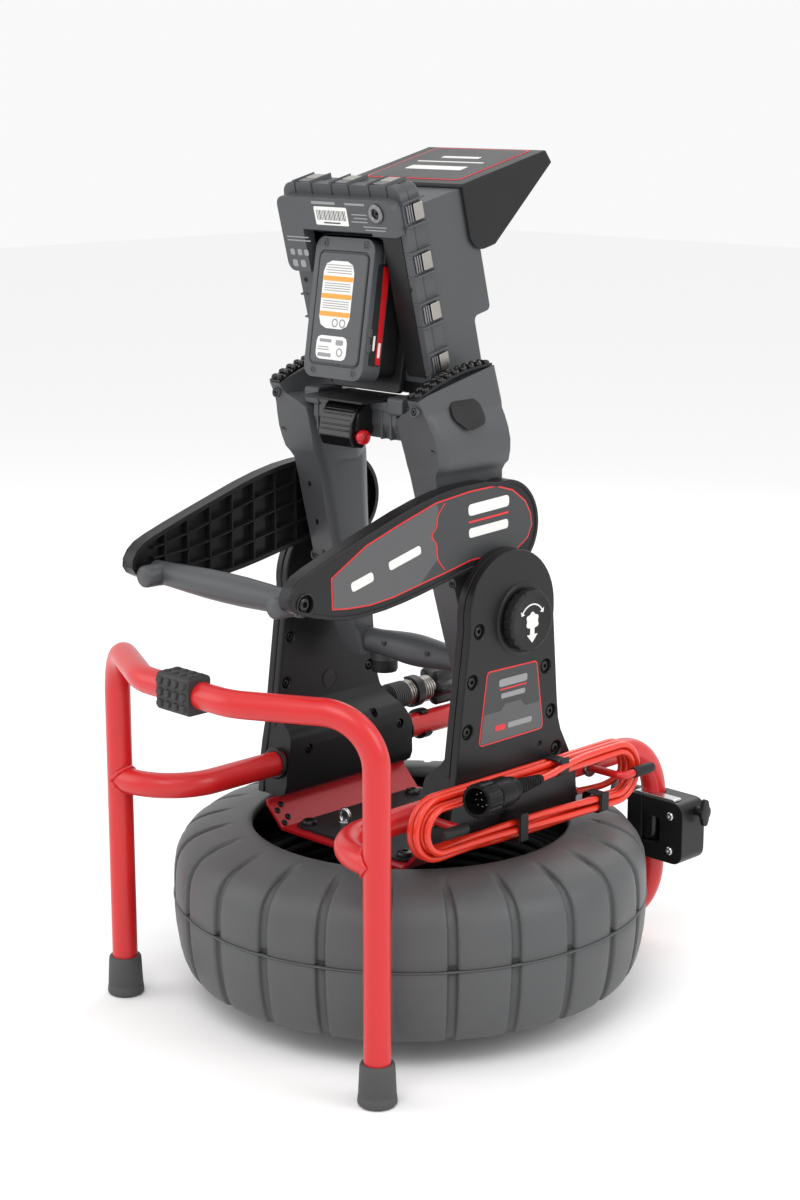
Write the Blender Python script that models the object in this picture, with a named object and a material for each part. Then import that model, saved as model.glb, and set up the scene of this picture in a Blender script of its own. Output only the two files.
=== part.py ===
"""Drain-inspection camera reel with its folding monitor unit, as separate solids.

Metres, +Z up, standing on Z = 0. The display faces -Y and the carry handle +Y, so left
is -X. Lengths below are millimetres measured from the drum's axis, and every object hangs
from the empty "assembly", which puts the origin under the middle of the outer box.
"""

import math

import bmesh
import bpy
from mathutils import Matrix, Vector

MM = 0.001
GAP = 0.3
AXIS_Y_IN_FRAME = -16.85

TUBE_R = 12.7
LEG_X, LEG_Y = 183.0, 226.3
HOOP_Z, HOOP_BEND_R = 364.3, 50.0
HOOP_FRONT_Y, HOOP_FLAT_X = 290.0, 62.0
RAIL_X, RAIL_Z, RAIL_BEND_R = 109.3, 227.7, 60.3
REAR_LEG_Y, LOW_BAR_Z, LOW_BAR_BEND_R = -255.8, 16.0, 78.0

DRUM_SEAM_R, DRUM_SEAM_Z = 240.0, 104.5
DRUM_MOUTH_R, DRUM_TOP_Z = 160.0, 180.0
DRUM_BASE_R, DRUM_BASE_Z = 228.0, 29.0
DRUM_WALL = 4.0
SPINDLE_R, BEARING_R, HUB_R = 10.0, 22.0, 32.0
PAN_Z, SHEET = 165.0, 3.0
CRADLE_X, CRADLE_FRONT_Y, CRADLE_REAR_Y = 109.0, 98.0, -97.0
SADDLE_BASE_Z, SADDLE_TOP_Z = 193.0, 284.0

PLATE_IN_X, PLATE_MID_X, PLATE_OUT_X = 118.5, 127.0, 136.0
PLATE_TOP_Y, PLATE_TOP_Z, PLATE_TOP_R = -1.5, 413.0, 59.5
DOCK_Y, DOCK_Z = -14.6, 403.3
KNOB_R, KNOB_SHAFT_R, SHAFT_HOLE_R = 30.0, 6.0, 6.4

STRIP_R, STRIP_THICK = 247.0, 6.0
LEG_IN_X, LEG_OUT_X = 62.0, 101.0
ARM_IN_X, ARM_OUT_X = 102.4, 117.0
ARM_PIVOT_Y, ARM_PIVOT_Z, ARM_END_R = -10.0, 490.0, 45.5
HANDLE_Y, HANDLE_Z = 238.0, 452.0

MONITOR_Y, MONITOR_Z = 20.0, 628.0
MONITOR_TILT = math.radians(-14.0)
FLANGE_X, CASE_X = 78.4, 74.0
BATTERY_Y, BATTERY_Z = 80.7, 28.5
BATTERY_TILT = math.radians(22.9)
BATTERY_X, BATTERY_DEPTH, BATTERY_HEIGHT = 39.0, 46.0, 128.0
BUTTON_Y, BUTTON_Z = 13.0, 4.0

HANK_X, HANK_THICK = -147.4, 22.0
HANK_Z, HANK_R = 226.0, 29.0
HANK_FRONT_Y, HANK_REAR_Y = 141.0, -170.0
HOOK_X, HOOK_Z, HOOK_R = -165.0, 226.0, 4.0
HANK_SLOT_R = 7.0
CORD_R = 3.5
GLAND_X, GLAND_Y, GLAND_Z = -118.0, -98.4, 203.0
CONNECTOR_MOUTH, CONNECTOR_TAIL = (-180.0, 86.0, 256.0), (-165.0, -12.0, 251.0)
CAMERA_X, CAMERA_START_Y, CAMERA_Z = 122.0, -99.5, 258.0
CLAMP_X, CLAMP_LOW_Z, CLAMP_HIGH_Z = -109.3, 84.0, 172.0


def remove_everything():
    for item in list(bpy.data.objects):
        bpy.data.objects.remove(item, do_unlink=True)


def make_material(name, colour, roughness, metallic=0.0):
    made = bpy.data.materials.new(name)
    made.use_nodes = True
    shader = made.node_tree.nodes["Principled BSDF"]
    shader.inputs["Base Color"].default_value = (*colour, 1.0)
    shader.inputs["Roughness"].default_value = roughness
    shader.inputs["Metallic"].default_value = metallic
    return made


def make_empty(name, location, parent=None, tilt=0.0):
    """An empty whose place and tilt about X are given in its parent's frame."""
    made = bpy.data.objects.new(name, None)
    made.location = Vector(location) * MM
    made.rotation_euler = (tilt, 0, 0)
    made.parent = parent
    bpy.context.scene.collection.objects.link(made)
    return made


def finish(name, mesh_data, look, parent, smooth_deg=35):
    """Links a node made of a bmesh in millimetres that are measured in its parent's frame."""
    bmesh.ops.recalc_face_normals(mesh_data, faces=mesh_data.faces)
    bmesh.ops.scale(mesh_data, vec=(MM, MM, MM), verts=mesh_data.verts)
    mesh = bpy.data.meshes.new(name)
    mesh_data.to_mesh(mesh)
    mesh_data.free()
    mesh.materials.append(look)
    mesh.shade_smooth()
    mesh.set_sharp_from_angle(angle=math.radians(smooth_deg))
    made = bpy.data.objects.new(name, mesh)
    made.parent = parent
    bpy.context.scene.collection.objects.link(made)
    return made


def arc(centre, radius, start_deg, end_deg, steps):
    turns = [math.radians(start_deg + (end_deg - start_deg) * i / steps) for i in range(steps + 1)]
    return [(centre[0] + radius * math.cos(a), centre[1] + radius * math.sin(a)) for a in turns]


def rounded(corners, radius, steps=3):
    """The polygon with every corner turned into an arc of this radius."""
    points = []
    for i, corner in enumerate(corners):
        here = Vector(corner)
        before = (Vector(corners[i - 1]) - here).normalized()
        after = (Vector(corners[(i + 1) % len(corners)]) - here).normalized()
        half = before.angle(after) / 2
        centre = here + (before + after).normalized() * radius / math.sin(half)
        first = here + before * radius / math.tan(half) - centre
        last = here + after * radius / math.tan(half) - centre
        for k in range(steps + 1):
            points.append(tuple(centre + first.slerp(last, k / steps).normalized() * radius))
    return points


def prism(outline, low, high, axis):
    """A bmesh: a closed outline pushed along X (points are y, z), Y (x, z) or Z (x, y)."""
    place = {
        "X": lambda p, h: (h, p[0], p[1]),
        "Y": lambda p, h: (p[0], h, p[1]),
        "Z": lambda p, h: (p[0], p[1], h),
    }[axis]
    made = bmesh.new()
    base = [made.verts.new(place(p, low)) for p in outline]
    top = [made.verts.new(place(p, high)) for p in outline]
    made.faces.new(base)
    made.faces.new(list(reversed(top)))
    for i in range(len(outline)):
        j = (i + 1) % len(outline)
        made.faces.new((base[i], base[j], top[j], top[i]))
    return made


def loft(rings):
    """A bmesh through rings of the same number of points, closed at both ends."""
    made = bmesh.new()
    rows = [[made.verts.new(p) for p in ring] for ring in rings]
    count = len(rings[0])
    for low, high in zip(rows, rows[1:]):
        for i in range(count):
            j = (i + 1) % count
            made.faces.new((low[i], low[j], high[j], high[i]))
    made.faces.new(rows[0])
    made.faces.new(list(reversed(rows[-1])))
    return made


def turned(profile, steps=24, ring=False):
    """A bmesh turned about Z from (radius, height) points. A ring's profile closes on itself."""
    made = bmesh.new()
    rows = []
    for radius, height in profile:
        if radius < 1e-6:
            rows.append([made.verts.new((0, 0, height))])
            continue
        turns = [2 * math.pi * i / steps for i in range(steps)]
        rows.append([made.verts.new((radius * math.cos(a), radius * math.sin(a), height)) for a in turns])
    pairs = list(zip(rows, rows[1:]))
    if ring:
        pairs.append((rows[-1], rows[0]))
    for low, high in pairs:
        for i in range(steps):
            j = (i + 1) % steps
            corners = [low[i % len(low)], low[j % len(low)], high[j % len(high)], high[i % len(high)]]
            corners = list(dict.fromkeys(corners))
            if len(corners) > 2:
                made.faces.new(corners)
    return made


def lay_along(mesh_data, axis, place):
    """Turns a shape made about Z so that Z points along this axis, then moves it."""
    turn = Vector((0, 0, 1)).rotation_difference(Vector(axis)).to_matrix().to_4x4()
    bmesh.ops.transform(mesh_data, matrix=Matrix.Translation(place) @ turn, verts=mesh_data.verts)
    return mesh_data


def bent_route(corners, bend_step_deg=11.0):
    """Points along straight runs, with an arc at each inner corner (x, y, z, bend radius)."""
    spots = [Vector(c[:3]) for c in corners]
    points = [spots[0]]
    for i in range(1, len(corners) - 1):
        radius = corners[i][3]
        back = (spots[i - 1] - spots[i]).normalized()
        on = (spots[i + 1] - spots[i]).normalized()
        half = back.angle(on) / 2
        centre = spots[i] + (back + on).normalized() * radius / math.sin(half)
        first = spots[i] + back * radius / math.tan(half) - centre
        last = spots[i] + on * radius / math.tan(half) - centre
        steps = max(2, round(math.degrees(math.pi - 2 * half) / bend_step_deg))
        points += [centre + first.slerp(last, k / steps).normalized() * radius for k in range(steps + 1)]
    return points + [spots[-1]]


def tube(name, points, radius, look, parent, resolution=2):
    """A round bar or cord along these points, with flat ends."""
    curve = bpy.data.curves.new(name, "CURVE")
    curve.dimensions = "3D"
    curve.bevel_depth = radius * MM
    curve.bevel_resolution = resolution
    curve.use_fill_caps = True
    spline = curve.splines.new("POLY")
    spline.points.add(len(points) - 1)
    for spot, point in zip(spline.points, points):
        spot.co = (*(Vector(point) * MM), 1.0)
    spline.use_smooth = True
    curve.materials.append(look)
    made = bpy.data.objects.new(name, curve)
    made.parent = parent
    bpy.context.scene.collection.objects.link(made)
    return made


def smooth_route(knots, steps):
    """A Catmull-Rom curve through the knots, with this many points in each stretch."""
    ends = [knots[0]] + list(knots) + [knots[-1]]
    spots = [Vector(k) for k in ends]
    points = []
    for i in range(len(knots) - 1):
        a, b, c, d = spots[i:i + 4]
        for k in range(steps):
            t = k / steps
            points.append(0.5 * (2 * b + (c - a) * t + (2 * a - 5 * b + 4 * c - d) * t * t
                                 + (3 * b - a - 3 * c + d) * t ** 3))
    return points + [spots[-1]]


def combine(target, helper, operation):
    """A Boolean with a helper that is left out of the part."""
    helper.hide_render = True
    helper.display_type = "WIRE"
    modifier = target.modifiers.new(helper.name, "BOOLEAN")
    modifier.operation = operation
    modifier.object = helper
    modifier.solver = "EXACT"


def soften(target, width, segments=1):
    bevel = target.modifiers.new("edges", "BEVEL")
    bevel.width = width * MM
    bevel.segments = segments
    bevel.limit_method = "ANGLE"
    bevel.angle_limit = math.radians(50)


def channel_block(outline_half, radius, slit=0.6):
    """A block section round a bar at (0, 0): its hole is closed but for a slit at -first axis."""
    edge = math.degrees(math.asin(slit / radius))
    hole = arc((0, 0), radius, 180 - edge, -180 + edge, 20)
    left = min(p[0] for p in outline_half)
    return outline_half + [(left, -slit)] + list(reversed(hole)) + [(left, slit)]


def build_tubes(look, parent):
    half = [(LEG_X, LEG_Y, 8.0), (LEG_X, LEG_Y, HOOP_Z, HOOP_BEND_R), (HOOP_FLAT_X, HOOP_FRONT_Y, HOOP_Z, 60.0)]
    other = [(-c[0], *c[1:]) for c in reversed(half)]
    tube("frame_front_hoop", bent_route(half + other), TUBE_R, look, parent, 3)
    start = LEG_X - TUBE_R - 0.5
    half = [
        (start, LEG_Y, RAIL_Z),
        (RAIL_X, LEG_Y, RAIL_Z, RAIL_BEND_R),
        (RAIL_X, REAR_LEG_Y, RAIL_Z, 60.0),
        (RAIL_X, REAR_LEG_Y, LOW_BAR_Z, LOW_BAR_BEND_R),
    ]
    other = [(-c[0], *c[1:]) for c in reversed(half)]
    tube("frame_main_tube", bent_route(half + other), TUBE_R, look, parent, 3)


def build_feet(look, parent):
    hole_r = TUBE_R + GAP
    profile = [(0, 0), (17, 0), (18.5, 3), (16.5, 38), (15.5, 40), (hole_r, 40), (hole_r, 7.6), (0, 7.6)]
    for side, name in ((-1, "foot_cap_left"), (1, "foot_cap_right")):
        cap = lay_along(turned(profile, 20), (0, 0, 1), (side * LEG_X, LEG_Y, 0))
        finish(name, cap, look, parent)
    low, high = -LOW_BAR_Z, 17.0
    outline = [(17.0, low), (19.0, low + 6), (16.0, high), (-16.0, high), (-19.0, low + 6), (-17.0, low)]
    section = channel_block([(z, y) for y, z in outline], hole_r)
    section = [(REAR_LEG_Y + y, LOW_BAR_Z + z) for z, y in section]
    finish("rear_foot", prism(section, -28, 28, "X"), look, parent)


def build_grip_block(look, parent):
    half = 19.5
    square = [(-half, -half + 4), (-half + 4, -half), (half - 4, -half), (half, -half + 4)]
    square += [(half, half - 4), (half - 4, half), (-half + 4, half), (-half, half - 4)]
    section = channel_block(list(reversed(square)), TUBE_R + GAP)
    section = [(HOOP_FRONT_Y + a, HOOP_Z + b) for a, b in section]
    finish("grip_block", prism(section, -27, 27, "X"), look, parent)


def build_cradle(red, black, parent):
    top = SADDLE_BASE_Z - GAP
    outer = [(-CRADLE_X, top), (-CRADLE_X, 187), (-87, PAN_Z), (87, PAN_Z), (CRADLE_X, 187), (CRADLE_X, top)]
    inner = [(CRADLE_X - SHEET, top), (CRADLE_X - SHEET, 188.5), (85.5, PAN_Z + SHEET),
             (-85.5, PAN_Z + SHEET), (SHEET - CRADLE_X, 188.5), (SHEET - CRADLE_X, top)]
    finish("hub_cradle", prism(outer + inner, CRADLE_REAR_Y, CRADLE_FRONT_Y, "Y"), red, parent)
    corners = [(-80, -88), (80, -88), (80, 88), (-80, 88)]
    low = PAN_Z + SHEET + GAP
    finish("hub_plate", prism(rounded(corners, 10, 2), low, low + 2.7, "Z"), black, parent)


def build_spindle(steel, black, parent):
    top = PAN_Z - GAP
    spindle = turned([(0, 40), (SPINDLE_R, 40), (SPINDLE_R, 157), (28, 157), (28, top), (0, top)], 20)
    finish("drum_spindle", spindle, steel, parent)
    for name, low in (("bearing_lower", 44), ("bearing_upper", 128)):
        inner, outer = SPINDLE_R + GAP, BEARING_R
        profile = [(inner, low), (outer, low), (outer, low + 12), (inner, low + 12)]
        finish(name, turned(profile, 20, ring=True), steel, parent)
    inner = SPINDLE_R + GAP
    ring = [(inner, 76), (18, 76), (18, 108), (inner, 108)]
    finish("slip_ring", turned(ring, 20, ring=True), black, parent)


def build_drum(grey, black, cable, parent):
    wall = DRUM_WALL
    seam = DRUM_SEAM_Z
    floor = DRUM_BASE_Z
    lower = [(HUB_R + GAP, floor + 1), (205, floor + 1), (212, floor), (DRUM_BASE_R - 4, floor + 3),
             (233, 44), (238, 72), (DRUM_SEAM_R, seam), (DRUM_SEAM_R - wall, seam),
             (234, 72), (228, 47), (220, 35), (HUB_R + GAP, 35)]
    finish("drum_shell_lower", turned(lower, 40, ring=True), grey, parent)
    seam += GAP
    upper = [(DRUM_SEAM_R, seam), (239, 130), (234, 150), (222, 164), (200, 173), (168, DRUM_TOP_Z),
             (DRUM_MOUTH_R, DRUM_TOP_Z - 2), (DRUM_MOUTH_R, 168), (DRUM_MOUTH_R + wall, 168),
             (198, 169), (220, 160), (230, 148), (235, 129), (DRUM_SEAM_R - wall, seam)]
    finish("drum_shell_upper", turned(upper, 40, ring=True), grey, parent)
    bore = BEARING_R + GAP
    hub = [(bore, 36), (HUB_R, 36), (HUB_R, 60), (60, 66), (60, 70), (HUB_R, 74), (HUB_R, 150), (bore, 150)]
    finish("drum_hub", turned(hub, 24, ring=True), black, parent)
    coil = [(150, 44), (160, 36), (216, 38), (226, 50), (229, 100), (222, 118), (180, 122), (152, 100)]
    finish("push_cable_coil", turned(coil, 32, ring=True), cable, parent)


def plate_outline(base_z):
    """The docking plate's side view, from this height up."""
    low_front = [(86, 193), (83, 226), (76, 262), (73, SADDLE_TOP_Z)]
    low_rear = [(-70, 295), (-80, 271), (-97, 238), (-99, 193)]
    front = [p for p in low_front if p[1] >= base_z] or [(73, base_z)]
    rear = [p for p in low_rear if p[1] >= base_z + 1] if base_z < 200 else [(-72, base_z)]
    top = arc((PLATE_TOP_Y, PLATE_TOP_Z), PLATE_TOP_R, -8, 188, 14)
    if base_z < 200:
        rear.append((-99, 193))
    return front + top + rear


def build_plates(black, parent):
    for side, word in ((-1, "left"), (1, "right")):
        outer = prism(plate_outline(SADDLE_BASE_Z), side * PLATE_MID_X, side * PLATE_OUT_X, "X")
        outer = finish(f"side_plate_{word}_outer", outer, black, parent)
        high = SADDLE_TOP_Z - 4
        inner = prism(plate_outline(high), side * PLATE_IN_X, side * (PLATE_MID_X - GAP), "X")
        inner = finish(f"side_plate_{word}_inner", inner, black, parent)
        combine(inner, build_saddle(side, word, parent), "UNION")
        hole = lay_along(turned([(0, -60), (SHAFT_HOLE_R, -60), (SHAFT_HOLE_R, 60), (0, 60)], 20),
                         (1, 0, 0), (side * PLATE_MID_X, DOCK_Y, DOCK_Z))
        hole = finish(f"cutter_knob_hole_{word}", hole, black, parent)
        combine(outer, hole, "DIFFERENCE")
        combine(inner, hole, "DIFFERENCE")


def build_saddle(side, word, parent):
    """The lower part of a plate's inner shell, which wraps the frame's side rail."""
    face = PLATE_MID_X - GAP - RAIL_X
    low, high = SADDLE_BASE_Z - RAIL_Z, SADDLE_TOP_Z - RAIL_Z
    bulge = [(face, low), (-6, low), (-15.5, low + 12), (-15.5, 18), (9.5, 50), (9.5, high), (face, high)]
    edge = 2.5
    hole = arc((0, 0), TUBE_R + GAP, edge, 360 - edge, 22)
    section = bulge + [(face, 0.6)] + hole + [(face, -0.6)]
    section = [(side * (RAIL_X + a), RAIL_Z + b) for a, b in section]
    made = finish(f"helper_saddle_{word}", prism(section, -98, 84, "Y"), bpy.data.materials["black_plastic"], parent)
    return made


def build_knobs(look, parents):
    """Each docking knob is a thick disc whose shaft runs through the plate into the stand."""
    near, far = PLATE_OUT_X + GAP, LEG_OUT_X - 12
    for side, word in ((-1, "left"), (1, "right")):
        profile = [(0, far), (KNOB_SHAFT_R, far), (KNOB_SHAFT_R, near), (KNOB_R - 2, near),
                   (KNOB_R, near + 2), (KNOB_R, near + 10), (KNOB_R - 3, near + 13), (0, near + 13)]
        shape = lay_along(turned(profile, 28), (side, 0, 0), (0, 0, 0))
        finish(f"dock_knob_{word}", shape, look, parents[word])


def leg_ring(inner, outer, rear, front, height):
    """One level of a stand leg: eight points, thinner at its rear edge. height may be a function of y."""
    depth, width = front - rear, outer - inner
    spots = [(inner, front - 0.08 * depth), (inner + 0.1 * width, front), (outer - 0.1 * width, front),
             (outer, front - 0.1 * depth), (outer, rear + 0.06 * depth), (outer - 0.15 * width, rear),
             (inner + 0.5 * width, rear + 0.1 * depth), (inner, rear + 0.45 * depth)]
    return [(x, y, height(y) if callable(height) else height) for x, y in spots]


def strip_arc_z(radius):
    return lambda y: DOCK_Z + math.sqrt(radius ** 2 - (y - DOCK_Y) ** 2)


def build_stand(grey, black, rubber, steel, parent, origin):
    """The gray A-shaped stand, in the frame of its own tilt axis."""
    levels = [(62, 92, -24, 6, 336), (62, 97, -28, 14, 362), (63, 100, -30, 28, 400), (63, 101, -30, 38, 433),
              (62, 101, -28, 54, 497), (60, 101, -27, 66, 545), (60, 110, -27, 69, 551), (57, 114, -25, 75, 574),
              (56, 110, -22, 82, 597), (84, 104, -20, 87, 609), (86, 103, -10, 93, strip_arc_z(STRIP_R - STRIP_THICK - GAP))]
    for side, word in ((-1, "left"), (1, "right")):
        rings = [[(side * x, y - origin[1], z - origin[2]) for x, y, z in leg_ring(*level)] for level in levels]
        leg = finish(f"stand_leg_{word}", loft(rings), grey, parent)
        bore = turned([(0, 0), (SHAFT_HOLE_R, 0), (SHAFT_HOLE_R, 40), (0, 40)], 20)
        bore = lay_along(bore, (side, 0, 0), (side * (LEG_OUT_X - 14), 0, 0))
        combine(leg, finish(f"cutter_leg_bore_{word}", bore, grey, parent), "DIFFERENCE")
        centre = (DOCK_Y - origin[1], DOCK_Z - origin[2])
        start = math.degrees(math.acos(109.5 / STRIP_R))
        band = arc(centre, STRIP_R, start, 88, 10) + arc(centre, STRIP_R - STRIP_THICK, 88, start, 10)
        finish(f"tooth_strip_{word}", prism(band, side * 87, side * 101.5, "X"), black, parent)
        pin = turned([(0, 0), (8, 0), (8, 13.5), (0, 13.5)], 16)
        pin = lay_along(pin, (side, 0, 0), (side * (LEG_OUT_X + GAP), ARM_PIVOT_Y - origin[1], ARM_PIVOT_Z - origin[2]))
        finish(f"arm_pin_{word}", pin, steel, parent)
        pin = turned([(0, 0), (6, 0), (6, 7.0), (0, 7.0)], 16)
        pin = lay_along(pin, (side, 0, 0), (side * (FLANGE_X + GAP), MONITOR_Y - origin[1], MONITOR_Z - origin[2]))
        finish(f"monitor_pivot_{word}", pin, steel, parent)
    bridge = rounded([(22, 577), (70, 575), (76, 610), (26, 606)], 5, 2)
    bridge = [(y - origin[1], z - origin[2]) for y, z in bridge]
    finish("stand_bridge", prism(bridge, GAP - 56, 56 - GAP, "X"), grey, parent)
    reach = LEG_IN_X - GAP
    grip = [(0, -reach), (12, -reach), (13, -40), (16, 0), (13, 40), (12, reach), (0, reach)]
    grip = lay_along(turned(grip, 20), (1, 0, 0), (0, -7 - origin[1], 350 - origin[2]))
    finish("stand_handle", grip, rubber, parent)


def arm_outline():
    top = [(267, 462), (262, 473), (250, 482), (219, 494), (178, 507), (130, 523), (78, 535), (35, 537)]
    end = arc((ARM_PIVOT_Y, ARM_PIVOT_Z), ARM_END_R, 75, 290, 14)
    bottom = [(22, 457), (59, 452), (105, 443), (151, 436), (182, 434), (219, 438), (256, 448)]
    return top + end + bottom


def build_arms(black, grey, parent, origin):
    outline = [(y - origin[1], z - origin[2]) for y, z in arm_outline()]
    for side, word in ((-1, "left"), (1, "right")):
        arm = finish(f"arm_{word}", prism(outline, side * ARM_IN_X, side * ARM_OUT_X, "X"), black, parent)
        hole = lay_along(turned([(0, -30), (8.4, -30), (8.4, 30), (0, 30)], 20), (1, 0, 0), (side * ARM_IN_X, 0, 0))
        combine(arm, finish(f"cutter_arm_hole_{word}", hole, black, parent), "DIFFERENCE")
    reach = ARM_IN_X - GAP
    bar = [(0, -reach), (11, -reach), (11, -78), (13.5, -30), (14, 0), (13.5, 30), (11, 78), (11, reach), (0, reach)]
    bar = lay_along(turned(bar, 20), (1, 0, 0), (0, HANDLE_Y - origin[1], HANDLE_Z - origin[2]))
    bar = finish("handle_grip", bar, grey, parent)
    for side, word in ((-1, "left"), (1, "right")):
        stub = turned([(0, 0), (10.4, 0), (10.4, 24), (8.5, 26), (0, 26)], 20)
        stub = lay_along(stub, (0, 1, 0), (side * 91, HANDLE_Y - origin[1], HANDLE_Z - origin[2]))
        combine(bar, finish(f"helper_bumper_{word}", stub, grey, parent), "UNION")


def build_monitor(grey, black, glass, parent, battery_parent):
    """The monitor's case, in its own tilted frame: y runs to its back and z up its height."""
    flange = rounded([(-FLANGE_X, 8), (FLANGE_X, 8), (FLANGE_X, 196), (-FLANGE_X, 196)], 10, 2)
    rear = finish("monitor_rear_case", prism(flange, 18.5, 28.5, "Y"), grey, parent)
    housing = rounded([(-77, 113), (77, 113), (77, 186), (-77, 186)], 7, 2)
    combine(rear, finish("helper_housing", prism(housing, 26, 42, "Y"), grey, parent), "UNION")
    side_view = [(18.2, -10), (-44.5, -10), (-44.5, 50), (-67.5, 50), (-67.5, 172), (18.2, 172)]
    front = finish("monitor_front_case", prism(side_view, -CASE_X, CASE_X, "X"), grey, parent)
    soften(front, 3.0)
    pocket = prism(rounded([(30, -20), (30, 134), (-52, 134), (-52, -20)], 6, 2), -43, 43, "X")
    pocket = finish("cutter_battery_pocket", pocket, black, battery_parent)
    combine(rear, pocket, "DIFFERENCE")
    combine(front, pocket, "DIFFERENCE")
    screen = prism(rounded([(-62, 66), (62, 66), (62, 158), (-62, 158)], 5, 2), -67.5 - GAP, -69.5, "Y")
    finish("display_screen", screen, glass, parent)
    pad = prism(rounded([(-64, -4), (64, -4), (64, 44), (-64, 44)], 6, 2), -44.5 - GAP, -46.5, "Y")
    finish("keypad", pad, black, parent)


def build_sunshade(black, parent):
    """A bent hood: a flat top and two tapering cheeks, over the front of the case."""
    high, thick, half = 175.6, 3.2, FLANGE_X
    side_view = [(-52, 172.4)] + arc((-70, 127), 18, 0, -90, 4) + [(-84, 109), (-178, 162), (-172, high), (-52, high)]
    shade = finish("sunshade", prism(side_view, -half, half, "X"), black, parent)
    hollow = prism([(-49, 90), (-190, 90), (-190, high - thick), (-49, high - thick)], thick - half, half - thick, "X")
    combine(shade, finish("cutter_sunshade", hollow, black, parent), "DIFFERENCE")


def build_battery(grey, parent):
    outline = rounded([(-BATTERY_DEPTH, 0), (0, 0), (0, BATTERY_HEIGHT), (-BATTERY_DEPTH, BATTERY_HEIGHT)], 6, 2)
    pack = finish("battery_pack", prism(outline, -BATTERY_X, BATTERY_X, "X"), grey, parent)
    soften(pack, 4.0, 2)


def build_latch(black, red, latch_parent, button_parent):
    """The ribbed tilt latch under the battery, and the red button that slides in its side."""
    outline = [(0, 38), (0, -2), (8, -8), (20, -6), (25, 4), (23, 18), (15, 32), (6, 38)]
    latch = finish("tilt_latch", prism(outline, -22, 22, "X"), black, latch_parent)
    hole = lay_along(turned([(0, -9), (4.4, -9), (4.4, 4), (0, 4)], 16), (-1, 0, 0), (-22, BUTTON_Y, BUTTON_Z))
    combine(latch, finish("cutter_button_hole", hole, black, latch_parent), "DIFFERENCE")
    profile = [(0, -5), (4, -5), (4, 3.4), (7, 3.4), (7, 9), (5, 11), (0, 11)]
    finish("release_button", lay_along(turned(profile, 16), (-1, 0, 0), (0, 0, 0)), red, button_parent)


def build_camera(black, grey, steel, parent):
    """The camera head parked over the right rail: boot, spring, guide and head in line along -Y."""
    pieces = {
        "camera_boot": ([(0, 0), (8, 1), (11.5, 6), (11.5, 18), (0, 18)], grey),
        "camera_spring": ([(0, 18.3), (10, 18.3), (10, 47), (0, 47)], steel),
        "camera_guide": ([(0, 47.3), (11, 47.3), (15, 51), (15, 73), (11, 77), (0, 77)], black),
        "camera_head": ([(0, 77.3), (10.5, 77.3), (10.5, 96), (12.5, 98), (12.5, 108), (0, 108)], steel),
    }
    for name, (profile, look) in pieces.items():
        place = (CAMERA_X, CAMERA_START_Y, CAMERA_Z)
        finish(name, lay_along(turned(profile, 16), (0, -1, 0), place), look, parent)
    jaws = ((RAIL_X, RAIL_Z, TUBE_R, -150, 120), (CAMERA_X, CAMERA_Z, 10.0, 330, 60))
    clips = []
    for word, (x, z, radius, start, end) in zip(("clip_rail", "clip_head"), jaws):
        section = arc((x, z), radius + GAP, start, end, 14) + arc((x, z), radius + 3.5, end, start, 14)
        clips.append(prism(section, -129, -121, "Y"))
    clip = finish("camera_clip", clips[0], black, parent)
    combine(clip, finish("helper_clip_head", clips[1], black, parent), "UNION")
    web = prism([(117.6, 239.6), (112, 242), (114.5, 247.9), (120, 245.5)], -129, -121, "Y")
    combine(clip, finish("helper_clip_web", web, black, parent), "UNION")


def build_hooks(red, black, parent):
    start = -(RAIL_X + TUBE_R + 0.5)
    for word, stem_y, way, tip in (("front", 98.0, 1, 24.0), ("rear", -135.0, -1, 46.0)):
        route = [(start, stem_y, HOOK_Z), (HOOK_X, stem_y, HOOK_Z, 9.0), (HOOK_X, stem_y + way * tip, HOOK_Z)]
        tube(f"cord_hook_{word}", bent_route(route, 30), HOOK_R, red, parent)
        cap = turned([(0, GAP), (5.4, GAP), (5.4, 27), (3, 31), (0, 31)], 14)
        cap = lay_along(cap, (0, way, 0), (HOOK_X, stem_y + way * tip, HOOK_Z))
        finish(f"cord_hook_cap_{word}", cap, black, parent)


def build_clamp(grey, black, parent, knob_parent):
    """The cable guide clamped on the left rear leg, in two halves that meet beside the tube."""
    r = TUBE_R + 1.0
    inner = [(0.4, r)] + arc((0, 0), r, 88, -88, 12)[1:-1] + [(0.4, -r), (0.4, -20), (16, -20)]
    inner += [(20, -12), (20, 14), (14, 20), (0.4, 20)]
    outer = [(-0.4, -r)] + arc((0, 0), r, -92, -268, 12)[1:-1] + [(-0.4, r), (-0.4, 20), (-42, 20)]
    outer += [(-54, 8), (-54, -20), (-0.4, -20)]
    for name, section in (("guide_clamp_inner", inner), ("guide_clamp_outer", outer)):
        section = [(CLAMP_X + a, REAR_LEG_Y + b) for a, b in section]
        half = finish(name, prism(section, CLAMP_LOW_Z, CLAMP_HIGH_Z, "Z"), grey, parent)
        if name == "guide_clamp_inner":
            pipe = turned([(6, 0), (9, 0), (9, 42), (6, 42)], 16, ring=True)
            pipe = lay_along(pipe, (1, 0, 0), (CLAMP_X + 17, REAR_LEG_Y - 8, 160))
            combine(half, finish("helper_guide_pipe", pipe, grey, parent), "UNION")
    wing = [(0, 0), (5, 0), (5, 6), (14, 7), (14, 12), (0, 12)]
    finish("guide_wing_knob", lay_along(turned(wing, 12), (-1, 0, 0), (0, 0, 0)), black, knob_parent)


def stadium(front_y, rear_y, centre_z, radius, steps):
    front = arc((front_y - radius, centre_z), radius, -90, 90, steps)
    return front + arc((rear_y + radius, centre_z), radius, 90, 270, steps)


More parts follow.
